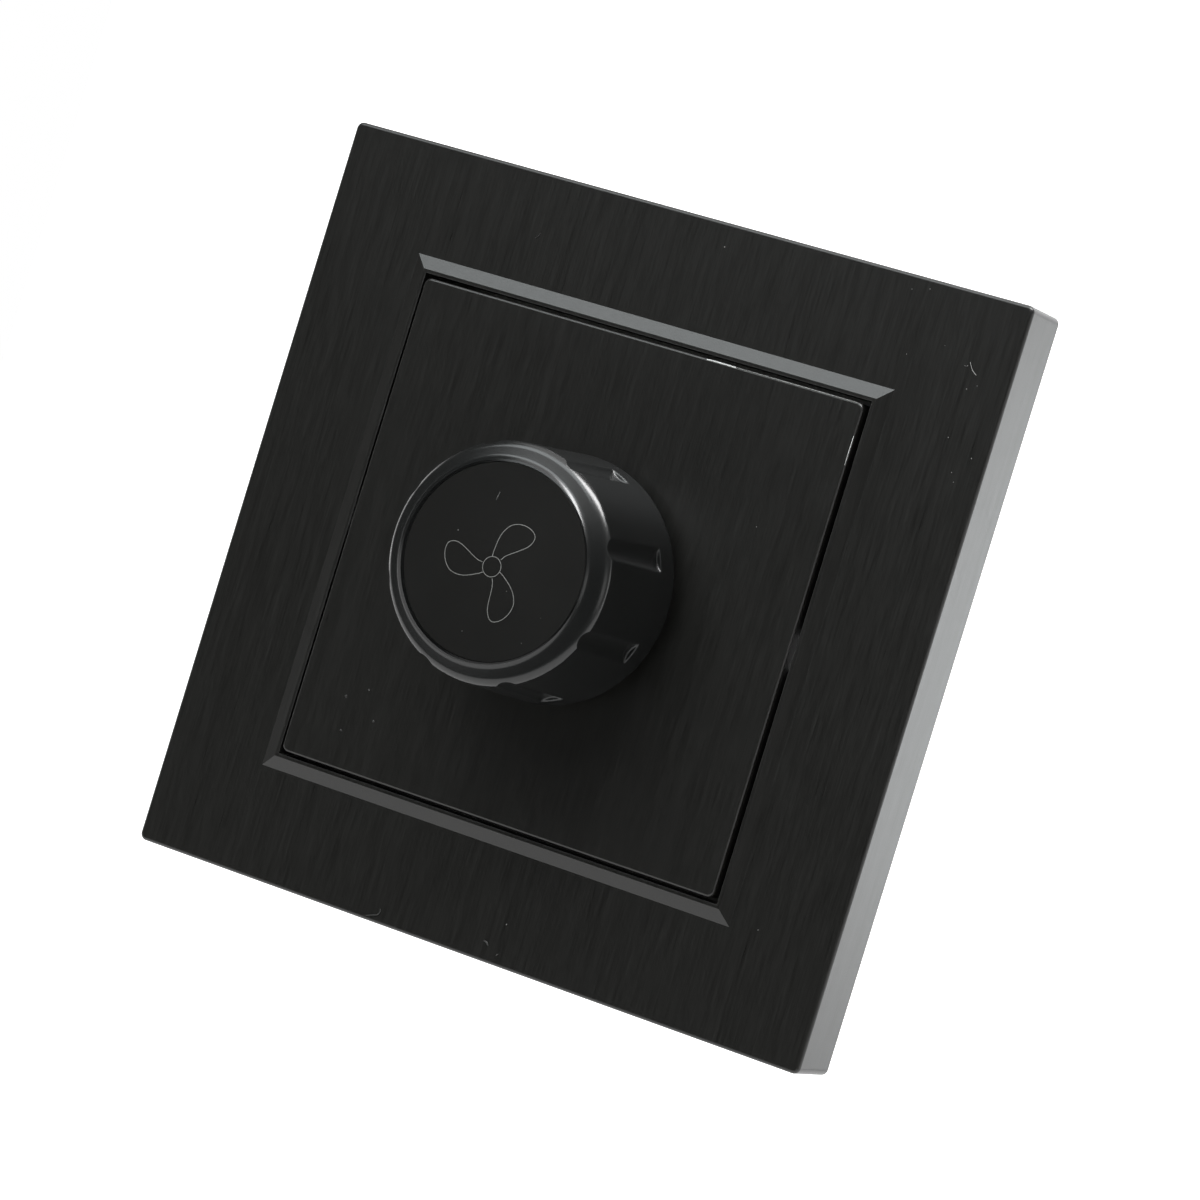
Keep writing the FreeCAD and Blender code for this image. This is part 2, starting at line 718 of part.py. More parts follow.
# Mounting yoke: pressed sheet with a window, two fixing slots and two folded flanges
def make_mounting_yoke():
    body = new_body("mounting_yoke")
    sheet_outline = sketch_on(body, "yoke_outline")
    rectangle(sheet_outline, YOKE_WIDTH, YOKE_HEIGHT)
    solid = pad(body, sheet_outline, "sizes.yoke_sheet")
    half_x, half_z = (worked_out(sheet_outline, side) / 2 for side in (YOKE_WIDTH, YOKE_HEIGHT))
    soften(body, solid, lambda p: near(abs(p.x), half_x) and near(abs(p.z), half_z), "sizes.yoke_corner")
    opening = sketch_on(body, "yoke_opening")
    opening_side = "sizes.module_size + 2 * sizes.opening_gap"
    rectangle(opening, opening_side, opening_side)
    pocket(body, opening, "sizes.yoke_sheet + sizes.overrun", out=True)
    slot = sketch_on(body, "fixing_slot")
    slot_hole(slot, "sizes.slot_length", "sizes.slot_width", "sizes.fixing_spacing / 2")
    slots = pocket(body, slot, "sizes.yoke_sheet + sizes.overrun", out=True)
    around(body, [slots], "2")
    fold = sketch_on(body, "fold")
    rectangle(fold, "sizes.yoke_sheet", "sizes.fold_span", f"({YOKE_WIDTH} - sizes.yoke_sheet) / 2", "0")
    folds = pad(body, fold, "sizes.fold_depth")
    catch = sketch_on(body, "catch_window", "sizes.yoke_sheet + sizes.catch_gap")
    for side in ("", "-"):
        rectangle(catch, "sizes.yoke_sheet * 2", "sizes.finger_width",
                  f"{YOKE_WIDTH} / 2", f"{side}sizes.finger_spacing / 2")
    catches = pocket(body, catch, "sizes.nib_height + 2 * sizes.catch_gap", out=True)
    around(body, [folds, catches], "2")
    return keep(body, "mounting_yoke")


# Knob: a tapered cup with a rounded rim, eight flutes and a split hub with a flat-sided bore
def make_knob():
    body = new_body("knob")
    half = sketch_on(body, "knob_section", plane="XY_Plane")
    wall_top = f"({RIM_WIDTH} / 2 - sizes.knob_wall - sizes.wall_draft)"
    seat = f"({INSERT_WIDTH} / 2 + sizes.insert_fit)"
    outline(half, [
        ("0", f"-{INSERT_BACK}"),
        (seat, f"-{INSERT_BACK}"),
        (seat, f"-{KNOB_CREST} + sizes.crest_edge"),
        (f"{seat} + sizes.crest_edge", f"-{KNOB_CREST}"),
        (f"{seat} + sizes.crest_edge + sizes.crest_land", f"-{KNOB_CREST}"),
        (f"{RIM_WIDTH} / 2 - sizes.shoulder_run", f"-{KNOB_RIM} - sizes.shoulder_drop"),
        (f"{RIM_WIDTH} / 2", f"-{KNOB_RIM}"),
        ("sizes.knob_base / 2", f"-{KNOB_BASE} - sizes.base_edge"),
        ("sizes.knob_base / 2 - sizes.base_edge", f"-{KNOB_BASE}"),
        ("sizes.knob_base / 2 - sizes.knob_wall", f"-{KNOB_BASE}"),
        (wall_top, f"-{KNOB_CEILING}"),
        ("sizes.hub_width / 2", f"-{KNOB_CEILING}"),
        ("sizes.hub_width / 2", f"-{HUB_END}"),
        ("0", f"-{HUB_END}"),
    ], arcs={4: "sizes.dome_radius", 5: "sizes.shoulder_radius"})
    turned(body, half)

    # Ribs inside the cup, between the hub and the wall
    rib = sketch_on(body, "knob_rib", f"{KNOB_CEILING} + sizes.root_lap")
    rib_ends = ("sizes.hub_width / 2 - sizes.root_lap", f"{wall_top} + sizes.knob_wall / 2")
    reach = f"{rib_ends[1]} - ({rib_ends[0]})"
    rectangle(rib, reach, "sizes.knob_rib", f"({rib_ends[0]} + {rib_ends[1]}) / 2", "0")
    ribs = pad(body, rib, "sizes.knob_rib_depth + sizes.root_lap", back=True)
    around(body, [ribs], "sizes.knob_rib_count")

    # Flutes: each leans with the side and grows shallower from a flat step above the base to the rim
    lean = "sizes.knob_taper / (sizes.knob_height - sizes.rim_drop)"
    step = "sizes.flute_start"
    high_reach = "(sizes.knob_height + sizes.overrun)"
    low_axis = f"sizes.knob_base / 2 - {step} * {lean} + sizes.flute_radius - sizes.flute_depth"
    high_axis = f"{low_axis} - ({high_reach} - {step}) * {lean} + sizes.flute_fade"
    turn = "180 / sizes.flute_count"
    flute_low = sketch_on(body, "flute_low", f"{KNOB_BASE} + {step}")
    circle(flute_low, "sizes.flute_radius", f"({low_axis}) * cos({turn})", f"({low_axis}) * sin({turn})")
    flute_high = sketch_on(body, "flute_high", f"{KNOB_BASE} + {high_reach}")
    circle(flute_high, "sizes.flute_radius", f"({high_axis}) * cos({turn})", f"({high_axis}) * sin({turn})")
    flute = feature(body, "SubtractiveLoft", "flute", Profile=flute_low, Sections=[flute_high])
    around(body, [flute], "sizes.flute_count")

    # Bore with a flat, two slits that let the hub give, and holes for the insert's pegs
    bore = sketch_on(body, "hub_bore", HUB_END)
    circle(bore, "sizes.shaft_radius + sizes.running_gap")
    pocket(body, bore, "sizes.shaft_engagement + sizes.tip_gap", out=True)
    flat = sketch_on(body, "hub_flat", HUB_END)
    flat_reach = "(sizes.shaft_radius - sizes.shaft_flat + sizes.running_gap)"
    top = "(sizes.shaft_radius + sizes.running_gap + sizes.root_lap)"
    rectangle(flat, "sizes.shaft_radius * 2", f"{top} - {flat_reach}", "0", f"({top} + {flat_reach}) / 2")
    pad(body, flat, "sizes.shaft_engagement + sizes.tip_gap + sizes.root_lap")
    slit = sketch_on(body, "hub_slit", HUB_END)
    rectangle(slit, "sizes.hub_width + sizes.overrun", "sizes.hub_slit")
    pocket(body, slit, "sizes.hub_slit_depth", out=True)
    peg_hole = sketch_on(body, "peg_hole", INSERT_BACK)
    circle(peg_hole, "sizes.peg_width / 2 + sizes.insert_fit", "sizes.peg_spacing / 2", "0")
    peg_holes = pocket(body, peg_hole, "sizes.peg_depth + sizes.peg_gap")
    around(body, [peg_holes], "2")
    return keep(body, "knob")


# Insert: the flat disc that is pressed into the knob's front
def make_knob_insert():
    body = new_body("knob_insert")
    disc = sketch_on(body, "insert_disc", INSERT_BACK)
    circle(disc, f"{INSERT_WIDTH} / 2")
    solid = pad(body, disc, "sizes.insert_thick")
    front = -float(disc.evalExpression(INSERT_FRONT))
    solid = soften(body, solid, lambda p: near(p.y, front), "sizes.insert_edge", "Chamfer")
    peg = sketch_on(body, "insert_peg", INSERT_BACK)
    circle(peg, "sizes.peg_width / 2", "sizes.peg_spacing / 2", "0")
    pegs = pad(body, peg, "sizes.peg_depth", back=True)
    around(body, [pegs], "2")
    return keep(body, "knob_insert")


# Spring band that closes the split hub on the shaft
def make_knob_clip():
    inner = "sizes.hub_width / 2 + sizes.insert_fit"
    back = f"-{HUB_END} - sizes.clip_set_back"
    ends = (f"{back} - sizes.clip_length", back)
    band = tube("clip_band", "Y", f"{inner} + sizes.clip_sheet", inner, ends, AXIS)
    gap = "sizes.hub_width * sin(sizes.clip_opening / 2)"
    mouth = block("clip_mouth", span("0", gap), ends, ("0", "sizes.hub_width"))
    return keep(cut("clip", band, mouth), "knob_spring_clip")


# Module cover: the moulded front that the centre plate hooks into
def make_module_cover():
    body = new_body("module_cover")
    face = sketch_on(body, "cover_outline", "sizes.yoke_sheet")
    rectangle(face, COVER_SIZE, COVER_SIZE)
    pad(body, face, "sizes.cover_face")
    collar = sketch_on(body, "cover_collar")
    rectangle(collar, "sizes.module_size", "sizes.module_size")
    rectangle(collar, ROOM, ROOM)
    pad(body, collar, "sizes.yoke_sheet")
    boss = sketch_on(body, "cover_boss")
    rectangle(boss, "sizes.post_size", "sizes.post_size",
              "(sizes.module_size - sizes.post_size) / 2", "(sizes.module_size - sizes.post_size) / 2")
    bosses = pad(body, boss, "sizes.yoke_sheet")
    around(body, [bosses], "4")
    pilot = sketch_on(body, "pilot_hole")
    circle(pilot, "sizes.screw_radius + sizes.running_gap", SCREW_AT, SCREW_AT)
    pilots = pocket(body, pilot, "sizes.yoke_sheet + sizes.pilot_depth", out=True)
    around(body, [pilots], "4")
    neck = sketch_on(body, "neck_hole", COVER_FRONT)
    circle(neck, "sizes.neck_radius + sizes.fit_gap")
    pocket(body, neck, "sizes.cover_face + sizes.overrun")
    catch = sketch_on(body, "leg_slot", COVER_FRONT)
    for side in ("", "-"):
        rectangle(catch, "sizes.leg_width + 2 * sizes.fit_gap", "sizes.leg_thick + 2 * sizes.fit_gap",
                  f"{side}sizes.leg_spacing / 2", LEG_Z)
    catches = pocket(body, catch, "sizes.cover_face + sizes.overrun")
    around(body, [catches], "2")
    heads = sketch_on(body, "cover_head_notch", COVER_FRONT)
    head_notch(heads, f"{COVER_SIZE} / 2", "sizes.notch_land")
    notch = pocket(body, heads, "sizes.cover_face")
    around(body, [notch], "2")
    return keep(body, "module_cover")


# Module housing: the moulded rear box
def make_module_housing():
    body = new_body("module_housing")
    box = sketch_on(body, "housing_outline")
    rectangle(box, "sizes.module_size", "sizes.module_size")
    solid = pad(body, box, REAR, back=True)
    half = value("module_size") / 2
    rear = float(box.evalExpression(REAR))
    solid = soften(body, solid, lambda p: near(abs(p.x), half) and near(abs(p.z), half), "sizes.module_corner")
    soften(body, solid, lambda p: near(p.y, rear), "sizes.module_corner / 2", "Chamfer")
    room = sketch_on(body, "housing_room")
    rectangle(room, ROOM, ROOM)
    pocket(body, room, INNER_REAR)
    flange = sketch_on(body, "housing_flange")
    reach = "sizes.module_size + 2 * sizes.flange_reach"
    rectangle(flange, reach, reach)
    rectangle(flange, ROOM, ROOM)
    pad(body, flange, "sizes.flange_thick", back=True)
    post = sketch_on(body, "housing_post")
    post_at = "(sizes.module_size - sizes.module_wall - sizes.post_size) / 2"
    rectangle(post, "sizes.post_size", "sizes.post_size", post_at, post_at)
    posts = pad(body, post, f"{INNER_REAR} + sizes.root_lap", back=True)
    around(body, [posts], "4")
    shank = sketch_on(body, "shank_hole")
    circle(shank, "sizes.screw_radius + sizes.tunnel_gap", SCREW_AT, SCREW_AT)
    shanks = pocket(body, shank, f"{REAR} + sizes.overrun")
    around(body, [shanks], "4")
    tunnel = sketch_on(body, "driver_tunnel", f"-{REAR} - sizes.overrun")
    circle(tunnel, "sizes.screw_head + sizes.tunnel_gap", SCREW_AT, SCREW_AT)
    tunnels = pocket(body, tunnel, f"{REAR} + sizes.overrun - sizes.screw_seat", out=True)
    around(body, [tunnels], "4")

    # Ledges that the board rests on, one on each wall
    ledge = sketch_on(body, "board_ledge", f"-{BOARD_BACK}")
    rectangle(ledge, "sizes.ledge_width", "sizes.ledge_reach + 2 * sizes.root_lap",
              "0", f"{ROOM} / 2 - sizes.ledge_reach / 2 + sizes.root_lap")
    ledges = pad(body, ledge, f"{INNER_REAR} - {BOARD_BACK} + sizes.root_lap", back=True)
    around(body, [ledges], "4")

    # Ribs of the terminal cells, wire entries below them and holes for the screwdriver
    cell = sketch_on(body, "cell_rib", f"-{CAGE_FRONT}")
    for side in ("+", "-"):
        rectangle(cell, "sizes.cell_rib", "sizes.cage_length + sizes.cage_gap + 2 * sizes.root_lap",
                  f"{TERMINAL_X} {side} (sizes.cage_width / 2 + sizes.cage_gap + sizes.cell_rib / 2)",
                  f"-{ROOM} / 2 + (sizes.cage_length + sizes.cage_gap) / 2 - sizes.root_lap")
    cells = pad(body, cell, f"{INNER_REAR} - {CAGE_FRONT} + sizes.root_lap", back=True)
    mirrored(body, [cells])
    driver = sketch_on(body, "driver_hole", f"-{INNER_REAR}")
    circle(driver, "sizes.driver_hole / 2", TERMINAL_X, CAGE_MIDDLE)
    drivers = pocket(body, driver, "sizes.rear_wall + sizes.overrun")
    mirrored(body, [drivers])
    entry = sketch_on(body, "wire_entry", "-sizes.module_size / 2 - sizes.overrun", "XY_Plane")
    rectangle(entry, "sizes.wire_entry", "sizes.wire_entry", TERMINAL_X, CAGE_AXIS)
    entries = pocket(body, entry, "sizes.module_wall + sizes.overrun", out=True)
    mirrored(body, [entries])

    # Cooling slots in the top wall
    vent = sketch_on(body, "vent", "sizes.module_size / 2 + sizes.overrun", "XY_Plane")
    first = "-(sizes.vent_count - 1) / 2 * sizes.vent_pitch"
    rectangle(vent, "sizes.vent_width", "sizes.vent_length", first, f"{BOARD_BACK} + sizes.vent_set_back")
    vents = pocket(body, vent, "sizes.module_wall + sizes.overrun")
    pattern = feature(body, "LinearPattern", "vents", Originals=[vents])
    pattern.Direction = (origin_part(body, "X_Axis"), [""])
    pattern.setExpression("Length", "(sizes.vent_count - 1) * sizes.vent_pitch")
    pattern.setExpression("Occurrences", "sizes.vent_count")
    body.Tip = pattern
    return keep(body, "module_housing")


def make_housing_screws():
    head_top = "(sizes.screw_seat + sizes.screw_head_height)"
    slot_ends = ("sizes.screw_seat + sizes.screw_head_height / 2", f"{head_top} + sizes.overrun")
    tip = "-sizes.yoke_sheet - sizes.pilot_depth + sizes.pilot_gap"
    screws = []
    for number, (x_side, z_side) in enumerate((("", ""), ("-", ""), ("-", "-"), ("", "-"))):
        at = (f"{x_side}{SCREW_AT}", f"{z_side}{SCREW_AT}")
        shank = rod(f"screw_shank_{number}", "Y", "sizes.screw_radius", (tip, "sizes.screw_seat"), at)
        head = rod(f"screw_head_{number}", "Y", "sizes.screw_head", ("sizes.screw_seat", head_top), at)
        across = block(f"screw_slot_{number}", span(at[0], "sizes.cross_width"), slot_ends,
                       span(at[1], "sizes.cross_length"))
        along = block(f"screw_cross_{number}", span(at[0], "sizes.cross_length"), slot_ends,
                      span(at[1], "sizes.cross_width"))
        whole = fuse(f"screw_blank_{number}", shank, head)
        recess = fuse(f"screw_recess_{number}", across, along)
        screws.append(cut(f"screw_{number}", whole, recess))
    return keep(group("screws", *screws), "housing_screws")


# Rotary control, from the neck in front to the can behind
def make_bushing():
    body = new_body("potentiometer_bushing")
    half = sketch_on(body, "bushing_section", plane="XY_Plane")
    bore = "sizes.shaft_radius + sizes.running_gap"
    outline(half, [
        (bore, f"-{NECK_END}"),
        ("sizes.neck_radius - sizes.neck_edge", f"-{NECK_END}"),
        ("sizes.neck_radius", f"-{NECK_END} + sizes.neck_edge"),
        ("sizes.neck_radius", "-sizes.yoke_sheet"),
        ("sizes.control_radius", "-sizes.yoke_sheet"),
        ("sizes.control_radius", PLATE_BACK),
        (bore, PLATE_BACK),
    ])
    turned(body, half)
    return keep(body, "potentiometer_bushing")


def make_washer_and_nut():
    ends = (f"-{COVER_FRONT} - sizes.washer_thick", f"-{COVER_FRONT}")
    hole_radius = "sizes.neck_radius + sizes.fit_gap"
    keep(tube("washer", "Y", "sizes.washer_radius", hole_radius, ends, AXIS), "potentiometer_washer")
    nut = doc.addObject("Part::Prism", "nut_blank")
    nut.Polygon = 6
    nut.Placement = FreeCAD.Placement(FreeCAD.Vector(), TURN["Y"])
    nut.setExpression("Circumradius", "sizes.nut_flats / 2 / cos(30)")
    nut.setExpression("Height", "sizes.nut_thick")
    place(nut, "0", f"{ends[0]} - sizes.nut_thick", "0")
    nut_ends = (f"{ends[0]} - sizes.nut_thick - sizes.overrun", f"{ends[0]} + sizes.overrun")
    hole = rod("nut_hole", "Y", "sizes.neck_radius + sizes.running_gap", nut_ends, AXIS)
    keep(cut("nut", nut, hole), "potentiometer_nut")


def make_shaft():
    ends = (f"-{SHAFT_TIP}", f"{CONTROL_BACK} - sizes.shaft_tail")
    bar = rod("shaft_bar", "Y", "sizes.shaft_radius", ends, AXIS)
    flat_z = ("sizes.shaft_radius - sizes.shaft_flat", "sizes.shaft_radius * 2")
    flat_ends = (f"-{SHAFT_TIP} - sizes.overrun", f"-{HUB_END}")
    flat = block("shaft_flat", span("0", "sizes.shaft_radius * 3"), flat_ends, flat_z)
    ring_ends = (f"-{NECK_END} - sizes.ring_thick - sizes.fit_gap", f"-{NECK_END} - sizes.fit_gap")
    groove_ends = (f"{ring_ends[0]} - sizes.fit_gap", f"{ring_ends[1]} + sizes.fit_gap / 2")
    groove = tube("shaft_groove", "Y", "sizes.shaft_radius + sizes.overrun",
                  "sizes.shaft_radius - sizes.ring_grip", groove_ends, AXIS)
    keep(cut("shaft", cut("shaft_flatted", bar, flat), groove), "potentiometer_shaft")
    ring = tube("ring", "Y", "sizes.shaft_radius + sizes.ring_reach",
                "sizes.shaft_radius - sizes.ring_grip + sizes.running_gap", ring_ends, AXIS)
    mouth = block("ring_gap", span("0", "sizes.ring_mouth"), ring_ends, ("0", "sizes.shaft_radius * 2"))
    keep(cut("ring_open", ring, mouth), "shaft_ring")


def make_rotor():
    """The carrier turns with the shaft, and its peg meets the can's stop at both ends of the turn."""
    disc = tube("rotor_disc", "Y", "sizes.rotor_radius", "sizes.shaft_radius", (ROTOR_FRONT, ROTOR_BACK), AXIS)
    body = new_body("rotor_peg")
    peg = sketch_on(body, "stop_peg", f"-{ROTOR_FRONT}")
    angle = "(90 + sizes.turn_range / 2)"
    inner, outer, half = "sizes.shaft_radius + sizes.shaft_room", "sizes.stop_reach", "sizes.stop_width / 2"
    corners = []
    for radius, side in ((inner, "-"), (outer, "-"), (outer, "+"), (inner, "+")):
        across = "+" if side == "-" else "-"
        x = f"({radius}) * cos({angle}) {across} ({half}) * sin({angle})"
        z = f"({radius}) * sin({angle}) {side} ({half}) * cos({angle})"
        corners.append((x, z))
    outline(peg, corners)
    pad(body, peg, "sizes.rotor_thick", back=True)
    keep(fuse("rotor", disc, body), "potentiometer_rotor")


def make_wiper():
    sheet_ends = (ROTOR_BACK, f"{ROTOR_BACK} + sizes.wiper_sheet")
    ring = tube("wiper_ring", "Y", "sizes.rotor_radius - sizes.wiper_inset",
                "sizes.shaft_radius + sizes.shaft_room", sheet_ends, AXIS)
    arm_ends = ("sizes.shaft_radius + sizes.wiper_inset", "sizes.stop_inner - sizes.wiper_gap")
    arm = block("wiper_arm", span("0", "sizes.wiper_width"), sheet_ends, arm_ends)
    tip_ends = (ROTOR_BACK, f"{TRACK_FRONT} - sizes.running_gap")
    tip_at = ("0", f"{arm_ends[1]} - sizes.wiper_width / 2")
    tip = rod("wiper_tip", "Y", "sizes.wiper_width / 2", tip_ends, tip_at)
    keep(fuse("wiper", ring, arm, tip), "wiper_spring")


def make_case():
    """The can behind the control, with its stop lug and the ways out for pins and contacts."""
    shell = rod("can_shell", "Y", "sizes.control_radius", (PLATE_BACK, CONTROL_BACK), AXIS)
    room = rod("can_room", "Y", CAN_RADIUS, (f"{PLATE_BACK} - sizes.overrun", CAN_FLOOR), AXIS)
    body = new_body("can_stop")
    lug = sketch_on(body, "stop_lug", f"-{PLATE_BACK}")
    peg_half = "asin(sizes.stop_width / 2 / sizes.stop_inner) / 1deg"
    half = f"(180 - sizes.turn_range / 2 - {peg_half} - sizes.stop_gap)"
    wall = f"{CAN_RADIUS} + sizes.root_lap"
    corners = []
    for radius, side in (("sizes.rotor_radius", "-"), (wall, "-"), (wall, "+"), ("sizes.rotor_radius", "+")):
        corners.append((f"({radius}) * cos(270 {side} {half})", f"({radius}) * sin(270 {side} {half})"))
    outline(lug, corners)
    pad(body, lug, f"{TRACK_FRONT} - {PLATE_BACK} - sizes.fit_gap", back=True)
    sweep = rod("wiper_sweep", "Y", "sizes.stop_inner", (PLATE_BACK, CAN_FLOOR), AXIS)
    ways = []
    way_back = f"{CONTROL_BACK} + sizes.overrun"
    for name, x in (("left", "-sizes.pin_pitch"), ("middle", "0"), ("right", "sizes.pin_pitch")):
        ways.append(block(f"pin_way_{name}", span(x, "sizes.pin_width + 2 * sizes.fit_gap"),
                          (f"{TRACK_FRONT} - sizes.fit_gap", way_back),
                          ("-sizes.control_radius - sizes.overrun", "-sizes.control_radius + sizes.pin_lap")))
    for name, x in (("left", "-sizes.contact_x"), ("right", "sizes.contact_x")):
        ways.append(block(f"contact_way_{name}", span(x, "sizes.lead_hole"),
                          (f"{CAN_FLOOR} - sizes.overrun", way_back), span("sizes.contact_z", "sizes.lead_hole")))
    stopped = fuse("can_stopped", cut("can_hollow", shell, room), cut("can_lug", body, sweep))
    keep(cut("can", stopped, fuse("can_ways", *ways)), "potentiometer_case")


def make_track():
    """The wafer has a flat foot where the pins leave the can."""
    wafer = tube("track_wafer", "Y", f"{CAN_RADIUS} - sizes.fit_gap", "sizes.shaft_radius + sizes.shaft_room",
                 (TRACK_FRONT, TRACK_BACK), AXIS)
    foot = block("track_edge", span("0", "sizes.control_radius * 2"),
                 (f"{TRACK_FRONT} - sizes.overrun", f"{TRACK_BACK} + sizes.overrun"),
                 ("-sizes.control_radius * 2", f"-{CAN_RADIUS} + sizes.track_foot"))
    keep(cut("track", wafer, foot), "resistance_track")


def make_pins():
    """Three flat pins lie on the wafer's back, run down out of the can and turn into the board."""
    pins = []
    across = (TRACK_BACK, f"{TRACK_BACK} + sizes.pin_sheet")
    for name, x in (("left", "-sizes.pin_pitch"), ("middle", "0"), ("right", "sizes.pin_pitch")):
        run = block(f"pin_run_{name}", span(x, "sizes.pin_width"), across,
                    ("-sizes.pin_drop", "-sizes.control_radius + sizes.pin_lap"))
        tail_ends = (TRACK_BACK, f"{BOARD_BACK} + sizes.lead_reach")
        tail = block(f"pin_tail_{name}", span(x, "sizes.leg_side"), tail_ends, span(PIN_TURN, "sizes.leg_side"))
        lead_holes.append((x, PIN_TURN))
        pins.append(fuse(f"pin_{name}", run, tail))
    keep(group("pins", *pins), "potentiometer_pins")


def make_bridge_and_contacts():
    """At the off end of the turn the bridge leaves the two contacts in the can's floor."""
    bridge_back = f"{CAN_FLOOR} - sizes.contact_height - sizes.fit_gap"
    ends = (f"{bridge_back} - sizes.bridge_thick", bridge_back)
    hub = tube("bridge_ring", "Y", "sizes.shaft_radius + sizes.bridge_hub", "sizes.shaft_radius", ends, AXIS)
    arm_ends = ("sizes.shaft_radius + sizes.bridge_hub / 2", "sizes.bridge_reach")
    arm = block("bridge_arm", span("0", "sizes.wiper_width"), ends, arm_ends)
    keep(fuse("bridge", hub, arm), "switch_bridge")
    contacts = []
    for name, x in (("left", "-sizes.contact_x"), ("right", "sizes.contact_x")):
        at = (x, "sizes.contact_z")
        button_ends = (f"{CAN_FLOOR} - sizes.contact_height", CAN_FLOOR)
        button = rod(f"contact_button_{name}", "Y", "sizes.contact_radius", button_ends, at)
        tail_ends = (CAN_FLOOR, f"{BOARD_BACK} + sizes.lead_reach")
        tail = block(f"contact_tail_{name}", span(x, "sizes.leg_side"), tail_ends, span(at[1], "sizes.leg_side"))
        lead_holes.append(at)
        contacts.append(fuse(f"contact_{name}", button, tail))
    keep(group("contacts", *contacts), "switch_contacts")


# Parts that stand on the back of the board
def make_triac():
    x, z = "sizes.triac_x", "sizes.triac_z"
    body_ends = (TRIAC_FOOT, f"{TRIAC_FOOT} + sizes.triac_body")
    case = block("triac_case", span(x, "sizes.triac_width"), body_ends, span(z, "sizes.triac_thick"))
    tab_low = f"{z} - sizes.triac_thick / 2"
    tab = block("triac_tab", span(x, "sizes.triac_width"), (body_ends[0], TRIAC_TOP),
                (tab_low, f"{tab_low} + sizes.triac_tab_thick"))
    hole_ends = (f"{SINK_FRONT} - sizes.overrun", f"{tab_low} + sizes.triac_thick")
    hole = rod("triac_hole", "Z", "sizes.bolt_radius + sizes.fit_gap", hole_ends, (x, BOLT_Y))
    top = f"{TRIAC_FOOT} + sizes.lead_sink"
    legs = [
        lead("triac_leg_left", f"{x} - sizes.triac_pitch", z, top),
        lead("triac_leg_middle", x, z, top),
        lead("triac_leg_right", f"{x} + sizes.triac_pitch", z, top),
    ]
    keep(cut("triac_solid", fuse("triac_blank", case, tab, *legs), hole), "triac")
    pad_width = "sizes.triac_width + 2 * sizes.pad_margin"
    pad_piece = block("pad_sheet", span(x, pad_width), (TRIAC_FOOT, TRIAC_TOP), (SINK_FRONT, tab_low))
    pad_hole = rod("pad_hole", "Z", "sizes.bolt_radius + sizes.fit_gap", hole_ends, (x, BOLT_Y))
    keep(cut("pad_cut", pad_piece, pad_hole), "thermal_pad")


def make_heat_sink():
    body = new_body("heat_sink")
    base = sketch_on(body, "sink_foot", f"-{SEAT}")
    base_z = f"({SINK_FRONT} + {SINK_BACK}) / 2"
    rectangle(base, "sizes.sink_width", "sizes.sink_base", "sizes.triac_x", base_z)
    pad(body, base, "sizes.sink_height", back=True)
    fin = sketch_on(body, "sink_fin", f"-{SEAT}")
    first = "sizes.triac_x - (sizes.sink_width - sizes.fin_thick) / 2"
    fin_z = f"{SINK_BACK} - (sizes.fin_reach - sizes.root_lap) / 2"
    rectangle(fin, "sizes.fin_thick", "sizes.fin_reach + sizes.root_lap", first, fin_z)
    fins = pad(body, fin, "sizes.sink_height", back=True)
    pattern = feature(body, "LinearPattern", "fins", Originals=[fins])
    pattern.Direction = (origin_part(body, "X_Axis"), [""])
    pattern.setExpression("Length", "sizes.sink_width - sizes.fin_thick")
    pattern.setExpression("Occurrences", "sizes.fin_count")
    body.Tip = pattern
    tapped = sketch_on(body, "sink_hole", SINK_FRONT, "XY_Plane")
    circle(tapped, "sizes.bolt_radius + sizes.fit_gap", "sizes.triac_x", BOLT_Y)
    pocket(body, tapped, "sizes.sink_base + sizes.fin_reach + sizes.overrun")
    keep(body, "heat_sink")


def make_heat_sink_screw():
    low = "(sizes.triac_z - sizes.triac_thick / 2 + sizes.triac_tab_thick)"
    top = f"{low} + sizes.bolt_head_height"
    at = ("sizes.triac_x", BOLT_Y)
    shank = rod("bolt_shank", "Z", "sizes.bolt_radius", (f"{SINK_BACK} - sizes.bolt_tail", low), at)
    head = rod("bolt_cap", "Z", "sizes.bolt_head", (low, top), at)
    slot_ends = (f"{low} + sizes.bolt_head_height / 2", f"{top} + sizes.overrun")
    slot = block("bolt_cut", span(at[0], "3 * sizes.bolt_head"), span(at[1], "sizes.bolt_slot"), slot_ends)
    keep(cut("bolt", fuse("bolt_blank", shank, head), slot), "heat_sink_screw")


def make_capacitor(word, label):
    x, z = f"sizes.{word}_x", f"sizes.{word}_z"
    body = new_body(word)
    foot = sketch_on(body, word + "_foot", f"-{SEAT}")
    rectangle(foot, f"sizes.{word}_width", f"sizes.{word}_thick", x, z)
    solid = pad(body, foot, f"sizes.{word}_height", back=True)
    rear = float(foot.evalExpression(f"{SEAT} + sizes.{word}_height"))
    soften(body, solid, lambda p: near(p.y, rear), "sizes.capacitor_edge")
    reach = f"(sizes.{word}_width / 2 - sizes.lead_inset)"
    top = f"{SEAT} + sizes.lead_sink"
    legs = [
        lead(word + "_leg_left", f"{x} - {reach}", z, top),
        lead(word + "_leg_right", f"{x} + {reach}", z, top),
    ]
    keep(fuse(word + "_whole", body, *legs), label)


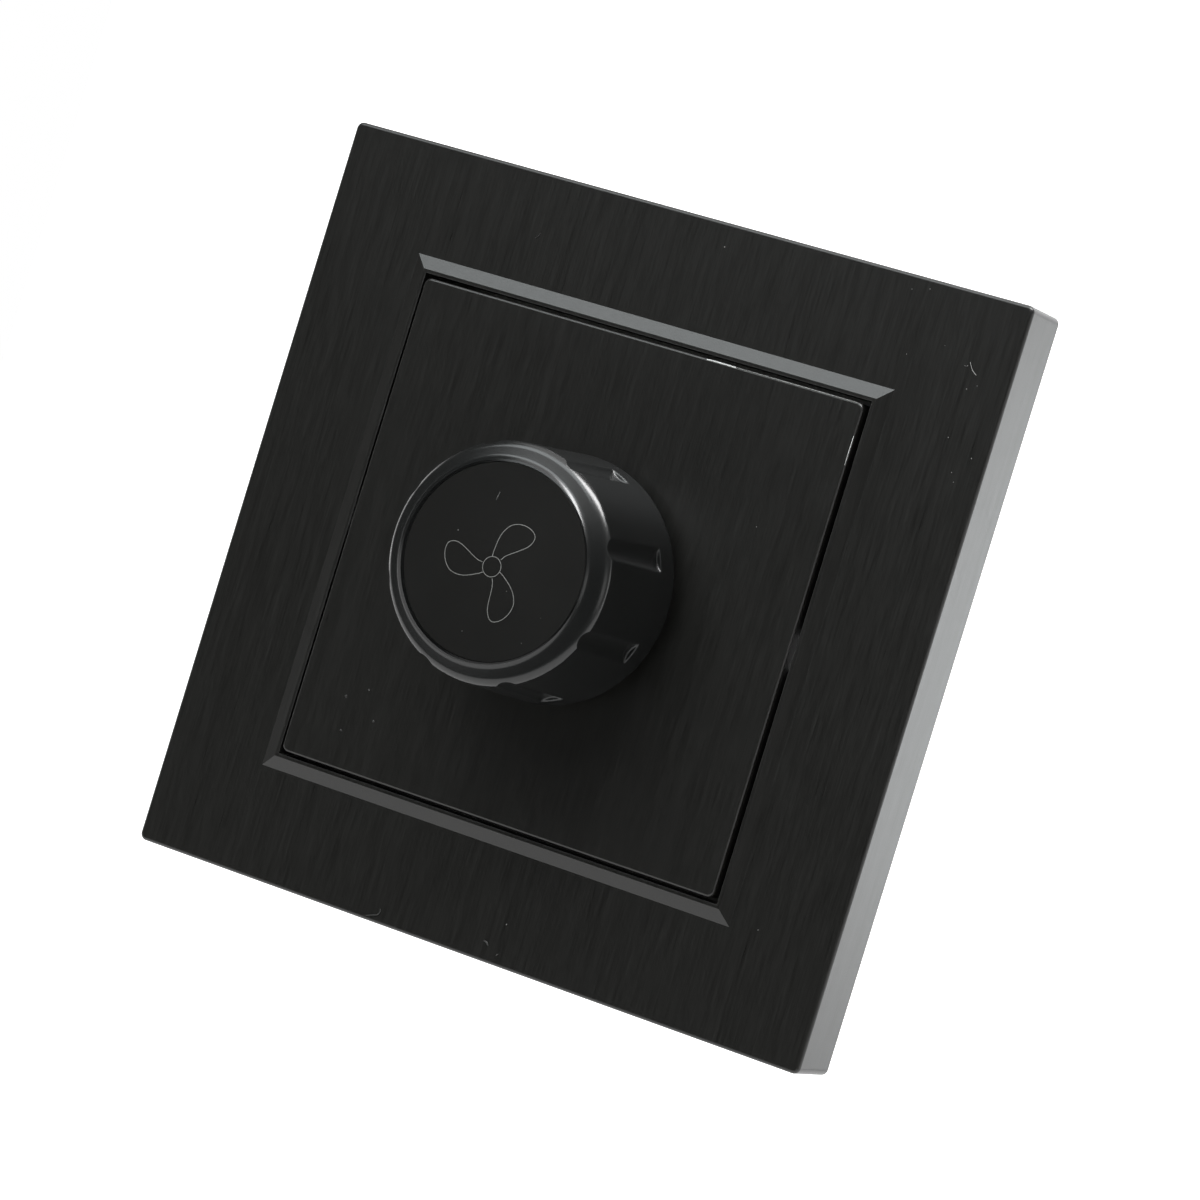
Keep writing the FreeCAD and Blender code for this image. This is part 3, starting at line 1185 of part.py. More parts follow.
def make_choke():
    x, z = "sizes.choke_x", "sizes.choke_z"
    wrap = "sizes.winding_thick"
    low = f"({SEAT} + {wrap})"
    core_ends = (low, f"{low} + sizes.choke_height")
    keep(tube("core", "Y", "sizes.choke_radius", "sizes.choke_bore", core_ends, (x, z)), "choke_core")

    # The winding is a sleeve round the core, parted into turns, with a bare stretch of core at the top
    body = new_body("choke_winding")
    sleeve = sketch_on(body, "winding_foot", f"-{SEAT}")
    circle(sleeve, f"sizes.choke_radius + {wrap}")
    circle(sleeve, f"sizes.choke_bore - {wrap}")
    height = f"(sizes.choke_height + 2 * {wrap})"
    pad(body, sleeve, height, back=True)
    room = sketch_on(body, "winding_room", f"-{low} + sizes.running_gap")
    circle(room, "sizes.choke_radius + sizes.running_gap")
    circle(room, "sizes.choke_bore - sizes.running_gap")
    pocket(body, room, "sizes.choke_height + 2 * sizes.running_gap")
    gap = sketch_on(body, "winding_gap", f"-{SEAT} + sizes.overrun")
    reach = f"(sizes.choke_radius + {wrap} + sizes.overrun)"
    spread = f"{reach} * tan((360 - sizes.winding_arc) / 2)"
    outline(gap, [("0", "0"), (spread, reach), (f"-({spread})", reach)])
    pocket(body, gap, f"{height} + 2 * sizes.overrun")
    near_level = f"-{SEAT} + sizes.overrun"
    far_level = f"-{SEAT} - {height} + {wrap} / 2"
    for end, level in (("near", near_level), ("far", far_level)):
        groove = sketch_on(body, f"turn_gap_{end}", level)
        rectangle(groove, "sizes.turn_gap", reach, "0", f"-{reach} / 2")
        grooves = pocket(body, groove, f"sizes.overrun + {wrap} / 2")
        around(body, [grooves], "sizes.turn_count")
    body.setExpression(".Placement.Base.x", x)
    body.setExpression(".Placement.Base.z", z)
    leg_z, top = f"{z} + sizes.choke_leg_z", f"{SEAT} + sizes.lead_sink"
    legs = [
        lead("winding_leg_left", f"{x} - sizes.choke_leg_x", leg_z, top),
        lead("winding_leg_right", f"{x} + sizes.choke_leg_x", leg_z, top),
    ]
    keep(fuse("winding_whole", body, *legs), "choke_winding")


def make_axial(name, word, x, z, middle, end, front):
    """A small part that lies along the board between two bent leads."""
    half = f"(sizes.{word}_length / 2)"
    reach = f"({half} + sizes.bend_reach)"
    barrel = rod(name, "X", f"sizes.{word}_radius", span(x, f"sizes.{word}_length"), (middle, z))
    wire = block(name + "_wire", span(x, f"2 * {reach} + sizes.leg_side"), span(middle, "sizes.leg_side"),
                 span(z, "sizes.leg_side"))
    tails = []
    for side, spot in (("left", f"{x} - {reach}"), ("right", f"{x} + {reach}")):
        ends = (end, middle) if front else (middle, end)
        tails.append(lead(f"{name}_tail_{side}", spot, z, *ends))
    return fuse(name + "_whole", barrel, wire, *tails)


def make_small_parts():
    middle = f"({BOARD_FRONT} - sizes.resistor_radius - sizes.axial_lift)"
    end = f"{BOARD_BACK} + sizes.lead_reach"
    resistors = []
    for level in ("upper", "lower"):
        for side, sign in (("left", "-"), ("right", "")):
            x, z = f"{sign}sizes.{level}_resistor_x", f"sizes.{level}_resistor_z"
            name = f"resistor_{level}_{side}"
            resistors.append(make_axial(name, "resistor", x, z, middle, end, True))
    keep(group("resistor_set", *resistors), "resistors")
    diac_middle = f"({BOARD_BACK} + sizes.diac_radius + sizes.axial_lift)"
    keep(make_axial("diac_part", "diac", "sizes.diac_x", "sizes.diac_z", diac_middle, LEAD_END, False), "diac")


def make_fuse():
    x, z = "sizes.fuse_x", "sizes.fuse_z"
    middle = f"({SEAT} + sizes.clip_band_sheet + sizes.fuse_radius + sizes.fuse_lift)"
    cap_at = "(sizes.fuse_length - sizes.cap_length) / 2"
    grip_radius = "sizes.fuse_radius + sizes.running_gap"
    grip_outer = f"{grip_radius} + sizes.clip_band_sheet"
    across = (middle, z)
    glass = rod("fuse_tube", "X", "sizes.fuse_radius - sizes.cap_sheet", span(x, "sizes.fuse_length"), across)
    caps, clips = [], []
    for side, sign in (("left", "-"), ("right", "+")):
        at = f"{x} {sign} {cap_at}"
        caps.append(rod(f"fuse_cap_{side}", "X", "sizes.fuse_radius", span(at, "sizes.cap_length"), across))
        ends = span(at, "sizes.clip_band")
        grip = tube(f"fuse_grip_{side}", "X", grip_outer, grip_radius, ends, across)
        mouth_y = (f"{middle} + sizes.fuse_radius * 0.6", f"{middle} + sizes.fuse_radius * 2")
        mouth = block(f"fuse_mouth_{side}", ends, mouth_y, span(z, "sizes.fuse_radius * 3"))
        foot_y = (SEAT, f"{middle} - ({grip_radius}) - sizes.fit_gap")
        foot = block(f"fuse_foot_{side}", ends, foot_y, span(z, "sizes.clip_foot"))
        leg = lead(f"fuse_leg_{side}", at, z, f"{SEAT} + sizes.lead_sink")
        clips.append(fuse(f"fuse_clip_{side}", cut(f"fuse_open_{side}", grip, mouth), foot, leg))
    keep(fuse("fuse_whole", glass, *caps), "fuse")
    keep(group("clips", *clips), "fuse_clips")


# Terminals: a clamp cage, its screw and the tab that carries the current to the board
def make_terminals():
    cages, screws, tabs = [], [], []
    back = f"({CAGE_FRONT} + sizes.cage_depth)"
    length = (CAGE_FOOT, f"{CAGE_FOOT} + sizes.cage_length")
    bore_ends = (f"{length[0]} - sizes.overrun", f"{length[1]} + sizes.overrun")
    tip = f"({CAGE_AXIS} + sizes.cage_bore / 2 + sizes.clamp_gap)"
    head_low = f"({back} + sizes.clamp_lift)"
    head_top = f"({head_low} + sizes.clamp_head_height)"
    slot_ends = (f"{head_low} + sizes.clamp_head_height / 2", f"{head_top} + sizes.overrun")
    tab_z = f"{length[1]} - sizes.tab_inset"
    for side, sign in (("left", "-"), ("right", "")):
        x = f"{sign}{TERMINAL_X}"
        at = (x, CAGE_MIDDLE)
        shell = block(f"cage_shell_{side}", span(x, "sizes.cage_width"), (CAGE_FRONT, back), length)
        way_y = span(CAGE_AXIS, "sizes.cage_bore")
        way = block(f"cage_way_{side}", span(x, "sizes.cage_bore"), way_y, bore_ends)
        tap_ends = (CAGE_AXIS, f"{back} + sizes.overrun")
        tap = rod(f"cage_tap_{side}", "Y", "sizes.clamp_radius + sizes.running_gap", tap_ends, at)
        cages.append(cut(f"cage_{side}", shell, fuse(f"cage_ways_{side}", way, tap)))
        shank = rod(f"clamp_shank_{side}", "Y", "sizes.clamp_radius", (tip, head_low), at)
        head = rod(f"clamp_cap_{side}", "Y", "sizes.clamp_head", (head_low, head_top), at)
        slot_z = span(CAGE_MIDDLE, "sizes.clamp_slot")
        slot = block(f"clamp_cut_{side}", span(x, "sizes.clamp_head * 3"), slot_ends, slot_z)
        screws.append(cut(f"clamp_{side}", fuse(f"clamp_blank_{side}", shank, head), slot))
        strip_z = span(tab_z, "sizes.tab_sheet")
        strip = block(f"tab_strip_{side}", span(x, "sizes.tab_width"), (SEAT, CAGE_FRONT), strip_z)
        top = f"{SEAT} + sizes.lead_sink"
        legs = [
            lead(f"tab_leg_{side}_a", f"{x} - sizes.tab_leg", tab_z, top),
            lead(f"tab_leg_{side}_b", f"{x} + sizes.tab_leg", tab_z, top),
        ]
        tabs.append(fuse(f"tab_{side}", strip, *legs))
    keep(group("cage_pair", *cages), "terminal_cages")
    keep(group("clamp_pair", *screws), "terminal_screws")
    keep(group("tab_pair", *tabs), "terminal_tabs")


# Circuit board, drilled where each lead goes through
def make_board():
    body = new_body("circuit_board")
    board = sketch_on(body, "board_outline", f"-{BOARD_FRONT}")
    side = f"({ROOM} - 2 * sizes.board_margin)"
    rectangle(board, side, side)
    pad(body, board, "sizes.board_thick", back=True)
    notch = sketch_on(body, "board_notch", f"-{BOARD_FRONT}")
    notch_at = f"({side} - sizes.board_notch + sizes.overrun) / 2"
    rectangle(notch, "sizes.board_notch", "sizes.board_notch", notch_at, notch_at)
    notches = pocket(body, notch, "sizes.board_thick + sizes.overrun")
    around(body, [notches], "4")
    holes = sketch_on(body, "lead_holes", f"-{BOARD_FRONT}")
    for x, z in lead_holes:
        rectangle(holes, "sizes.lead_hole", "sizes.lead_hole", x, z)
    pocket(body, holes, "sizes.board_thick + sizes.overrun")
    keep(body, "circuit_board")


def check_model():
    """Stop if a feature failed, a cut removed nothing or a piece isn't sound."""
    for item in doc.Objects:
        if "Invalid" in item.State or "Error" in item.State:
            raise RuntimeError(f"{item.Name} failed: {item.State}")
        if item.TypeId in ("PartDesign::Pocket", "PartDesign::Groove", "PartDesign::SubtractiveLoft"):
            before = item.BaseFeature.Shape.Volume
            if before - item.Shape.Volume < 1e-3:
                raise RuntimeError(f"{item.Name} cuts nothing")
    for piece in pieces:
        if piece.Shape.isNull() or not piece.Shape.isValid():
            raise RuntimeError(f"{piece.Label} isn't a sound solid")


make_front_frame()
make_centre_plate()
make_mounting_yoke()
make_knob()
make_knob_insert()
make_knob_clip()
make_module_cover()
make_module_housing()
make_housing_screws()
make_bushing()
make_washer_and_nut()
make_shaft()
make_rotor()
make_wiper()
make_case()
make_track()
make_pins()
make_bridge_and_contacts()
make_triac()
make_heat_sink()
make_heat_sink_screw()
make_capacitor("film", "film_capacitor")
make_capacitor("timing", "timing_capacitor")
make_choke()
make_small_parts()
make_fuse()
make_terminals()
make_board()
doc.recompute()
check_model()

os.makedirs("parts", exist_ok=True)
for piece in pieces:
    piece.Shape.exportStep(f"parts/{piece.Label}.step")
    box = piece.Shape.BoundBox
    extent = f"{box.XLength:.2f} x {box.YLength:.2f} x {box.ZLength:.2f} mm"
    print(f"{piece.Label}: {len(piece.Shape.Solids)} solid(s), {extent}")
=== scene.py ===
# %% [markdown]
# # A fan speed switch for the wall
#
# The object is an 86 mm square wall plate in satin black plastic with a raised, mitred bevel round a
# square centre plate. A fluted knob stands on the centre plate and turns the fan's speed up and down.
# Behind the wall plate sit a pressed steel yoke and a moulded module with the regulator in it.
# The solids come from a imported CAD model, in metres, with X to the right, Z up and Y into the wall.
# This lesson gives them their finishes, adds the fan sign and the lint, and lights and frames the shot.

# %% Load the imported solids
import math
import random

import bmesh
import bpy
from mathutils import Matrix, Vector


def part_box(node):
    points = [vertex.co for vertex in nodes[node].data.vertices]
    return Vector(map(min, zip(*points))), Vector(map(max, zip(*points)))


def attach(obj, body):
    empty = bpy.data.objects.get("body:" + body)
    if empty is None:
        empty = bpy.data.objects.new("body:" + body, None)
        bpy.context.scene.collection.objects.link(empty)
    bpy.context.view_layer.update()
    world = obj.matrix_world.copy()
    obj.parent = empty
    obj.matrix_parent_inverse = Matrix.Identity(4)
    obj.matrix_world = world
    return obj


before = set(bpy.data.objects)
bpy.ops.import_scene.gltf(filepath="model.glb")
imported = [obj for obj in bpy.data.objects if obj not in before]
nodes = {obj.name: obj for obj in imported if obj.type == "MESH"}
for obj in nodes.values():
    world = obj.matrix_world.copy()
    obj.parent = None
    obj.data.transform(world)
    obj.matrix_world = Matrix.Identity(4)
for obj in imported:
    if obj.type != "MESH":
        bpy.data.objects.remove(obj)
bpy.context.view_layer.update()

MM = 0.001

# %% [markdown]
# ## The camera
#
# The shot was taken from the right of the switch, almost level with it, with a long lens. A long lens keeps
# the plate's far side nearly as large as its near side. The camera was also rolled, so the upright plate
# leans in the picture. A camera is placed by a matrix here, because its three axes can then be given
# directly: to the right in the picture, up in the picture, and back towards the viewer.

# %% Place the camera
picture_right = Vector((0.86158, 0.41367, 0.29420))
picture_up = Vector((-0.27430, -0.10827, 0.95553))
towards_viewer = picture_right.cross(picture_up)
camera_place = Vector((0.22633, -0.47850, 0.00961))

camera_data = bpy.data.cameras.new("camera")
camera_data.lens = 141.45
camera_data.sensor_width = 36.0
camera_data.clip_start = 0.02
camera_data.clip_end = 30.0
camera = bpy.data.objects.new("camera", camera_data)
bpy.context.scene.collection.objects.link(camera)
turn = Matrix((picture_right, picture_up, towards_viewer)).transposed().to_4x4()
camera.matrix_world = Matrix.Translation(camera_place) @ turn
bpy.context.scene.camera = camera
bpy.context.scene.view_settings.view_transform = "Standard"
print("camera distance:", round(camera_place.length, 3), "m")

# %% [markdown]
# ## Small helpers for node trees
#
# Every finish below is a tree of shader nodes. One short helper adds a node and fills its inputs, so that each
# recipe reads as a list of steps. A filling that is a socket is joined, and any other filling is written on the
# input itself. Inputs go by name, or by number where several share a name, as on the mix node, which keeps
# separate inputs for colours and for vectors.


# %% Helpers for node trees
def put(tree, kind, settings=None, **sockets):
    """Add a node, set its properties, then fill its named inputs with values or links."""
    node = tree.nodes.new(kind)
    for key, setting in (settings or {}).items():
        setattr(node, key, setting)
    names = {socket.name.lower(): socket for socket in reversed(node.inputs) if socket.enabled}
    for key, filling in sockets.items():
        numbered = key[:2] == "in" and key[2:].isdigit()
        socket = node.inputs[int(key[2:])] if numbered else names[key.replace("_", " ")]
        if isinstance(filling, bpy.types.NodeSocket):
            tree.links.new(filling, socket)
        else:
            socket.default_value = filling
    return node


def number(tree, operation, first, second=0.0, clamp=False):
    """One arithmetic step on a value."""
    return put(tree, "ShaderNodeMath", {"operation": operation, "use_clamp": clamp},
               in0=first, in1=second).outputs[0]


def blend(tree, mask, first, second):
    """Mix two colours by a mask."""
    return put(tree, "ShaderNodeMix", {"data_type": "RGBA"}, in0=mask, in6=first, in7=second).outputs[2]


def blend_vectors(tree, mask, first, second):
    """Mix two vectors by a mask."""
    return put(tree, "ShaderNodeMix", {"data_type": "VECTOR"}, in0=mask, in4=first, in5=second).outputs[1]


def new_group(name, inputs, outputs):
    """A shader group with named inputs, each with a starting value, and named outputs."""
    tree = bpy.data.node_groups.new(name, "ShaderNodeTree")
    for label, start in inputs.items():
        kind = "NodeSocketVector" if isinstance(start, tuple) else "NodeSocketFloat"
        tree.interface.new_socket(label, in_out="INPUT", socket_type=kind).default_value = start
    for label in outputs:
        kind = "NodeSocketVector" if label == "Normal" else "NodeSocketFloat"
        tree.interface.new_socket(label, in_out="OUTPUT", socket_type=kind)
    return tree, tree.nodes.new("NodeGroupInput").outputs, tree.nodes.new("NodeGroupOutput").inputs


print("helpers: put, number, blend, blend_vectors, new_group")

# %% [markdown]
# ## Grain
#
# The plate has a very fine upright grain, as if it had been drawn past a brush. Grain of that kind is noise
# that is stretched along one direction. The group takes how many streaks there are to a metre across and
# along the grain, and gives a height for the bump and a shade for the colour. The shade is the fine noise
# with a quarter of a broader one in it, and its contrast is raised about the middle.

# %% Group: streaky grain
broad_scale = 0.12
broad_share = 0.25
shade_contrast = 1.8
middle = 0.5
tree, given, out = new_group("streaky grain", {"Streaks": (9000.0, 9000.0, 260.0)}, ["Height", "Shade"])
spot = put(tree, "ShaderNodeTexCoord").outputs["Object"]
stretched = put(tree, "ShaderNodeVectorMath", {"operation": "MULTIPLY"}, in0=spot, in1=given["Streaks"])
fine = put(tree, "ShaderNodeTexNoise", scale=1.0, detail=2.0, roughness=0.6, vector=stretched.outputs[0])
broad_spot = put(tree, "ShaderNodeVectorMath", {"operation": "SCALE"}, in0=stretched.outputs[0],
                 scale=broad_scale)
broad = put(tree, "ShaderNodeTexNoise", scale=1.0, detail=3.0, roughness=0.5, vector=broad_spot.outputs[0])
tree.links.new(fine.outputs[0], out["Height"])
both = blend(tree, broad_share, fine.outputs[0], broad.outputs[0])
centred = number(tree, "SUBTRACT", both, middle)
spread = number(tree, "MULTIPLY", centred, shade_contrast)
tree.links.new(number(tree, "ADD", spread, middle, clamp=True), out["Shade"])
streaky_grain = tree
print("made group:", tree.name)

# %% [markdown]
# ## Moulded skin
#
# Moulded plastic copies the spark-eroded wall of its mould, so it has a fine even pebble and faint cloudy
# patches where the melt cooled at different speeds. Two noises do it, one small and one large.

# %% Group: moulded skin
patches_to_a_metre = 70.0
tree, given, out = new_group("moulded skin", {"Pebbles": 3500.0}, ["Height", "Shade"])
spot = put(tree, "ShaderNodeTexCoord").outputs["Object"]
pebble = put(tree, "ShaderNodeTexNoise", scale=given["Pebbles"], detail=3.0, roughness=0.55, vector=spot)
patches = put(tree, "ShaderNodeTexNoise", scale=patches_to_a_metre, detail=3.0, roughness=0.5, vector=spot)
tree.links.new(pebble.outputs[0], out["Height"])
tree.links.new(patches.outputs[0], out["Shade"])
moulded_skin = tree
print("made group:", tree.name)

# %% [markdown]
# ## Dust
#
# A black plate shows every speck. Specks are the centres of Voronoi cells: a cell is lit only if its random
# number is high enough, and only within the speck's size of the centre. Broad noise thins them out, so that
# some areas stay clean.

# %% Group: dust specks
smallest_speck = 0.35
clean_areas_to_a_metre = 55.0
clean_below = 0.47
tree, given, out = new_group("dust specks", {"Cells": 500.0, "Share": 0.08, "Size": 0.05}, ["Mask"])
spot = put(tree, "ShaderNodeTexCoord").outputs["Object"]
cells = put(tree, "ShaderNodeTexVoronoi", scale=given["Cells"], vector=spot)
luck = put(tree, "ShaderNodeSeparateColor", color=cells.outputs["Color"])
lucky = number(tree, "GREATER_THAN", luck.outputs[0], number(tree, "SUBTRACT", 1.0, given["Share"]))
own_size = number(tree, "MULTIPLY", given["Size"], number(tree, "ADD", luck.outputs[1], smallest_speck))
near = number(tree, "LESS_THAN", cells.outputs["Distance"], own_size)
thinned = put(tree, "ShaderNodeTexNoise", scale=clean_areas_to_a_metre, detail=2.0, vector=spot)
here = number(tree, "GREATER_THAN", thinned.outputs[0], clean_below)
tree.links.new(number(tree, "MULTIPLY", number(tree, "MULTIPLY", lucky, near), here), out["Mask"])
dust_specks = tree
print("made group:", tree.name)

# %% [markdown]
# ## Wear and painted highlight along edges
#
# Handling polishes and scuffs the corners first. The bevel node looks a short way round each spot, and where
# its rounded normal leaves the true one there is an edge close by. Noise breaks the line up. On the black
# plates the pale edge colour is also a painted highlight along the edges.

# %% Group: edge scuffs and painted highlight
edge_gain = 5.0
tree, given, out = new_group("edge scuff and highlight", {"Reach": 0.25 * MM, "Breaks": 900.0}, ["Mask"])
rounded = put(tree, "ShaderNodeBevel", {"samples": 4}, radius=given["Reach"])
facing = put(tree, "ShaderNodeNewGeometry").outputs["Normal"]
same = put(tree, "ShaderNodeVectorMath", {"operation": "DOT_PRODUCT"}, in0=rounded.outputs[0], in1=facing)
apart = number(tree, "SUBTRACT", 1.0, same.outputs["Value"])
edge = number(tree, "MULTIPLY", apart, edge_gain, clamp=True)
spot = put(tree, "ShaderNodeTexCoord").outputs["Object"]
breaks = put(tree, "ShaderNodeTexNoise", scale=given["Breaks"], detail=3.0, vector=spot)
tree.links.new(number(tree, "MULTIPLY", edge, breaks.outputs[0], clamp=True), out["Mask"])
edge_scuff_and_highlight = tree
print("made group:", tree.name)


# %% [markdown]
# ## The cove round the knob's rim
#
# The moulded rim has a rounded lip beside the disc, a shallow cove behind it and a round shoulder. They are a
# few tenths of a millimetre deep, so a change of the normal shows them well enough. A colour ramp over the
# distance from the axis holds how far the skin leans outwards, as a share of a right angle.

# %% Rim cove: how far the skin leans
rim_inner, rim_span = 10.8 * MM, 2.6 * MM
leans = [(0.00, 0.34), (0.05, 0.42), (0.13, 0.50), (0.21, 0.40),
         (0.32, 0.17), (0.64, 0.16), (0.82, 0.42), (0.94, 0.62)]
tree, given, out = new_group("rim cove", {"Own": (0.0, 0.0, 1.0)}, ["Normal"])
place = put(tree, "ShaderNodeSeparateXYZ", vector=put(tree, "ShaderNodeTexCoord").outputs["Object"])
across = number(tree, "POWER", place.outputs[0], 2.0)
upwards = number(tree, "POWER", place.outputs[2], 2.0)
distance = number(tree, "SQRT", number(tree, "ADD", across, upwards))
share = number(tree, "DIVIDE", number(tree, "SUBTRACT", distance, rim_inner), rim_span, clamp=True)
ramp = put(tree, "ShaderNodeValToRGB", fac=share)
while len(ramp.color_ramp.elements) < len(leans):
    ramp.color_ramp.elements.new(0.5)
for element, (position, lean) in zip(ramp.color_ramp.elements, leans):
    element.position = position
    element.color = (lean, lean, lean, 1.0)
print("leans on the ramp:", len(ramp.color_ramp.elements))

# %% [markdown]
# The lean becomes a normal: its sine points away from the axis and its cosine towards the room. The normal
# is worked out in the knob's own space and turned into the world's, so that it turns with the knob.

# %% Rim cove: the lean as a normal
angle = number(tree, "MULTIPLY", ramp.outputs[0], math.pi / 2)
outward = number(tree, "DIVIDE", number(tree, "SINE", angle), distance)
forward = number(tree, "MULTIPLY", number(tree, "COSINE", angle), -1.0)
leaning = put(tree, "ShaderNodeCombineXYZ", x=number(tree, "MULTIPLY", place.outputs[0], outward), y=forward,
              z=number(tree, "MULTIPLY", place.outputs[2], outward))
into_world = {"vector_type": "NORMAL", "convert_from": "OBJECT", "convert_to": "WORLD"}
turned = put(tree, "ShaderNodeVectorTransform", into_world, vector=leaning.outputs[0])
print("nodes so far:", len(tree.nodes))

# %% [markdown]
# Only the front of the rim takes the new normal. Surfaces that don't face the room, such as the flutes, and
# everything behind the rim keep their own.

# %% Rim cove: only on the rim's front
towards_room = (0.0, -1.0, 0.0)
least_facing, facing_gain = 0.25, 4.0
rim_back = -26.3 * MM
true_facing = put(tree, "ShaderNodeNewGeometry").outputs["Normal"]
faces_room = put(tree, "ShaderNodeVectorMath", {"operation": "DOT_PRODUCT"}, in0=true_facing,
                 in1=towards_room)
facing_more = number(tree, "SUBTRACT", faces_room.outputs["Value"], least_facing)
front = number(tree, "MULTIPLY", facing_more, facing_gain, clamp=True)
near_rim = number(tree, "LESS_THAN", place.outputs[1], rim_back)
mixed = blend_vectors(tree, number(tree, "MULTIPLY", front, near_rim), given["Own"], turned.outputs[0])
tree.links.new(mixed, out["Normal"])
rim_cove = tree
print("made group:", tree.name)


# %% [markdown]
# ## One recipe for every finish
#
# All the finishes share one order of work: a colour that wanders a little between two tones, pale edges,
# dust on top, a roughness that follows the same masks, and a bump from the grain or the skin. The pale edges
# are wear, and on the black plates also a painted highlight. Constant numbers, such as the metal share or the
# coat, are written on the shader itself. A finish that names no edge colour takes a paler shade of its own,
# and only the knob is softened and given the cove.

# %% Values that the finishes share
coat_roughness = 0.12
dust_tone = (0.30, 0.29, 0.27)
dust_roughness = 0.9
paler_gain, paler_lift = 2.2, 0.01
print("dust tone:", dust_tone)


# %% The recipe
def finish(name, tone, second, rough, *, metal=0.0, surface=moulded_skin, texture, bump=0.1, depth=0.02 * MM,
           edge_tone=None, edge_share=0.3, dust=0.0, coat=0.0, swing=0.08, soften=0.0):
    """A material whose colour, roughness and bump come from the shared groups."""
    material = bpy.data.materials.new(name)
    material.use_nodes = True
    tree = material.node_tree
    shader = tree.nodes["Principled BSDF"]
    shader.inputs["Metallic"].default_value = metal
    shader.inputs["Coat Weight"].default_value = coat
    shader.inputs["Coat Roughness"].default_value = coat_roughness
    grain = put(tree, "ShaderNodeGroup", {"node_tree": surface}, in0=texture)
    colour = blend(tree, grain.outputs["Shade"], (*tone, 1.0), (*second, 1.0))
    lowest = rough - swing / 2
    roughness = put(tree, "ShaderNodeMath", {"operation": "MULTIPLY_ADD"}, in0=grain.outputs["Shade"],
                    in1=swing, in2=lowest).outputs[0]
    edges = put(tree, "ShaderNodeGroup", {"node_tree": edge_scuff_and_highlight})
    faint = number(tree, "MULTIPLY", edges.outputs["Mask"], edge_share)
    edge_tone = edge_tone or tuple(min(1.0, level * paler_gain + paler_lift) for level in tone)
    colour = blend(tree, faint, colour, (*edge_tone, 1.0))
    if dust:
        specks = put(tree, "ShaderNodeGroup", {"node_tree": dust_specks}, share=dust)
        colour = blend(tree, specks.outputs["Mask"], colour, (*dust_tone, 1.0))
        dusty = number(tree, "MULTIPLY", specks.outputs["Mask"], dust_roughness)
        roughness = number(tree, "MAXIMUM", roughness, dusty)
    tree.links.new(colour, shader.inputs["Base Color"])
    tree.links.new(roughness, shader.inputs["Roughness"])
    raised = put(tree, "ShaderNodeBump", strength=bump, distance=depth, height=grain.outputs["Height"])
    if soften:
        eased = put(tree, "ShaderNodeBevel", {"samples": 8}, radius=soften)
        shaped = put(tree, "ShaderNodeGroup", {"node_tree": rim_cove}, own=eased.outputs[0])
        tree.links.new(shaped.outputs[0], raised.inputs["Normal"])
    tree.links.new(raised.outputs[0], shader.inputs["Normal"])
    return material


def dress(material, *names):
    """Give a finish to CAD solids by name."""
    for name in names:
        solid = nodes[name]
        solid.data.materials.clear()
        solid.data.materials.append(material)
    print(material.name, "->", ", ".join(names))


print("solids that wait for a finish:", len(nodes))

# %% [markdown]
# ## The black front
#
# The wall plate and the centre plate are satin black with an upright grain and a slightly warm tone. The knob
# is the same black but smoother, so its side shows soft reflections, and the disc in its front is satin.

# %% Black plastics
# On both plates the pale edge tone is partly wear and partly a painted highlight along the edges.
plate_black = finish("satin black plate", (0.0046, 0.0044, 0.0036), (0.0158, 0.0153, 0.0137), 0.33,
                     surface=streaky_grain, texture=(9000.0, 9000.0, 200.0), bump=0.30, depth=0.01 * MM,
                     edge_tone=(0.16, 0.16, 0.155), edge_share=0.45, dust=0.03, swing=0.14)
dress(plate_black, "front_frame", "centre_plate")
knob_black = finish("smooth black knob", (0.0086, 0.0091, 0.0088), (0.0112, 0.0118, 0.0115), 0.25,
                    texture=5200.0, bump=0.06, depth=0.008 * MM, edge_tone=(0.10, 0.105, 0.105), edge_share=0.5,
                    dust=0.02, swing=0.06, soften=0.4 * MM)
dress(knob_black, "knob")
disc_black = finish("satin black disc", (0.0060, 0.0058, 0.0051), (0.0088, 0.0085, 0.0076), 0.34,
                    texture=6000.0, bump=0.15, depth=0.008 * MM, edge_share=0.1, dust=0.05, swing=0.06)
dress(disc_black, "knob_insert")

# %% [markdown]
# ## The steel and the module
#
# The yoke is pressed from zinc-plated sheet, which has a soft grey sheen with faint rolling streaks. The
# module's cover and housing are moulded in light grey flame-proof plastic with a matt pebble.

# %% Steel and moulded grey
zinc = finish("zinc plated steel", (0.52, 0.53, 0.52), (0.66, 0.66, 0.63), 0.34, metal=1.0,
              surface=streaky_grain, texture=(900.0, 900.0, 60.0), bump=0.15, edge_tone=(0.8, 0.79, 0.76),
              swing=0.16)
dress(zinc, "mounting_yoke", "housing_screws", "terminal_screws", "heat_sink_screw")
module_grey = finish("moulded grey", (0.47, 0.47, 0.45), (0.55, 0.55, 0.53), 0.52, texture=2600.0, bump=0.3,
                     depth=0.03 * MM, edge_tone=(0.66, 0.66, 0.64))
dress(module_grey, "module_cover", "module_housing")

# %% [markdown]
# ## The rotary control
#
# The control is bought in. Its front is die-cast zinc, its can drawn and plated steel, its shaft turned
# aluminium, and its carrier a pale moulding. The springs inside it are bronze.

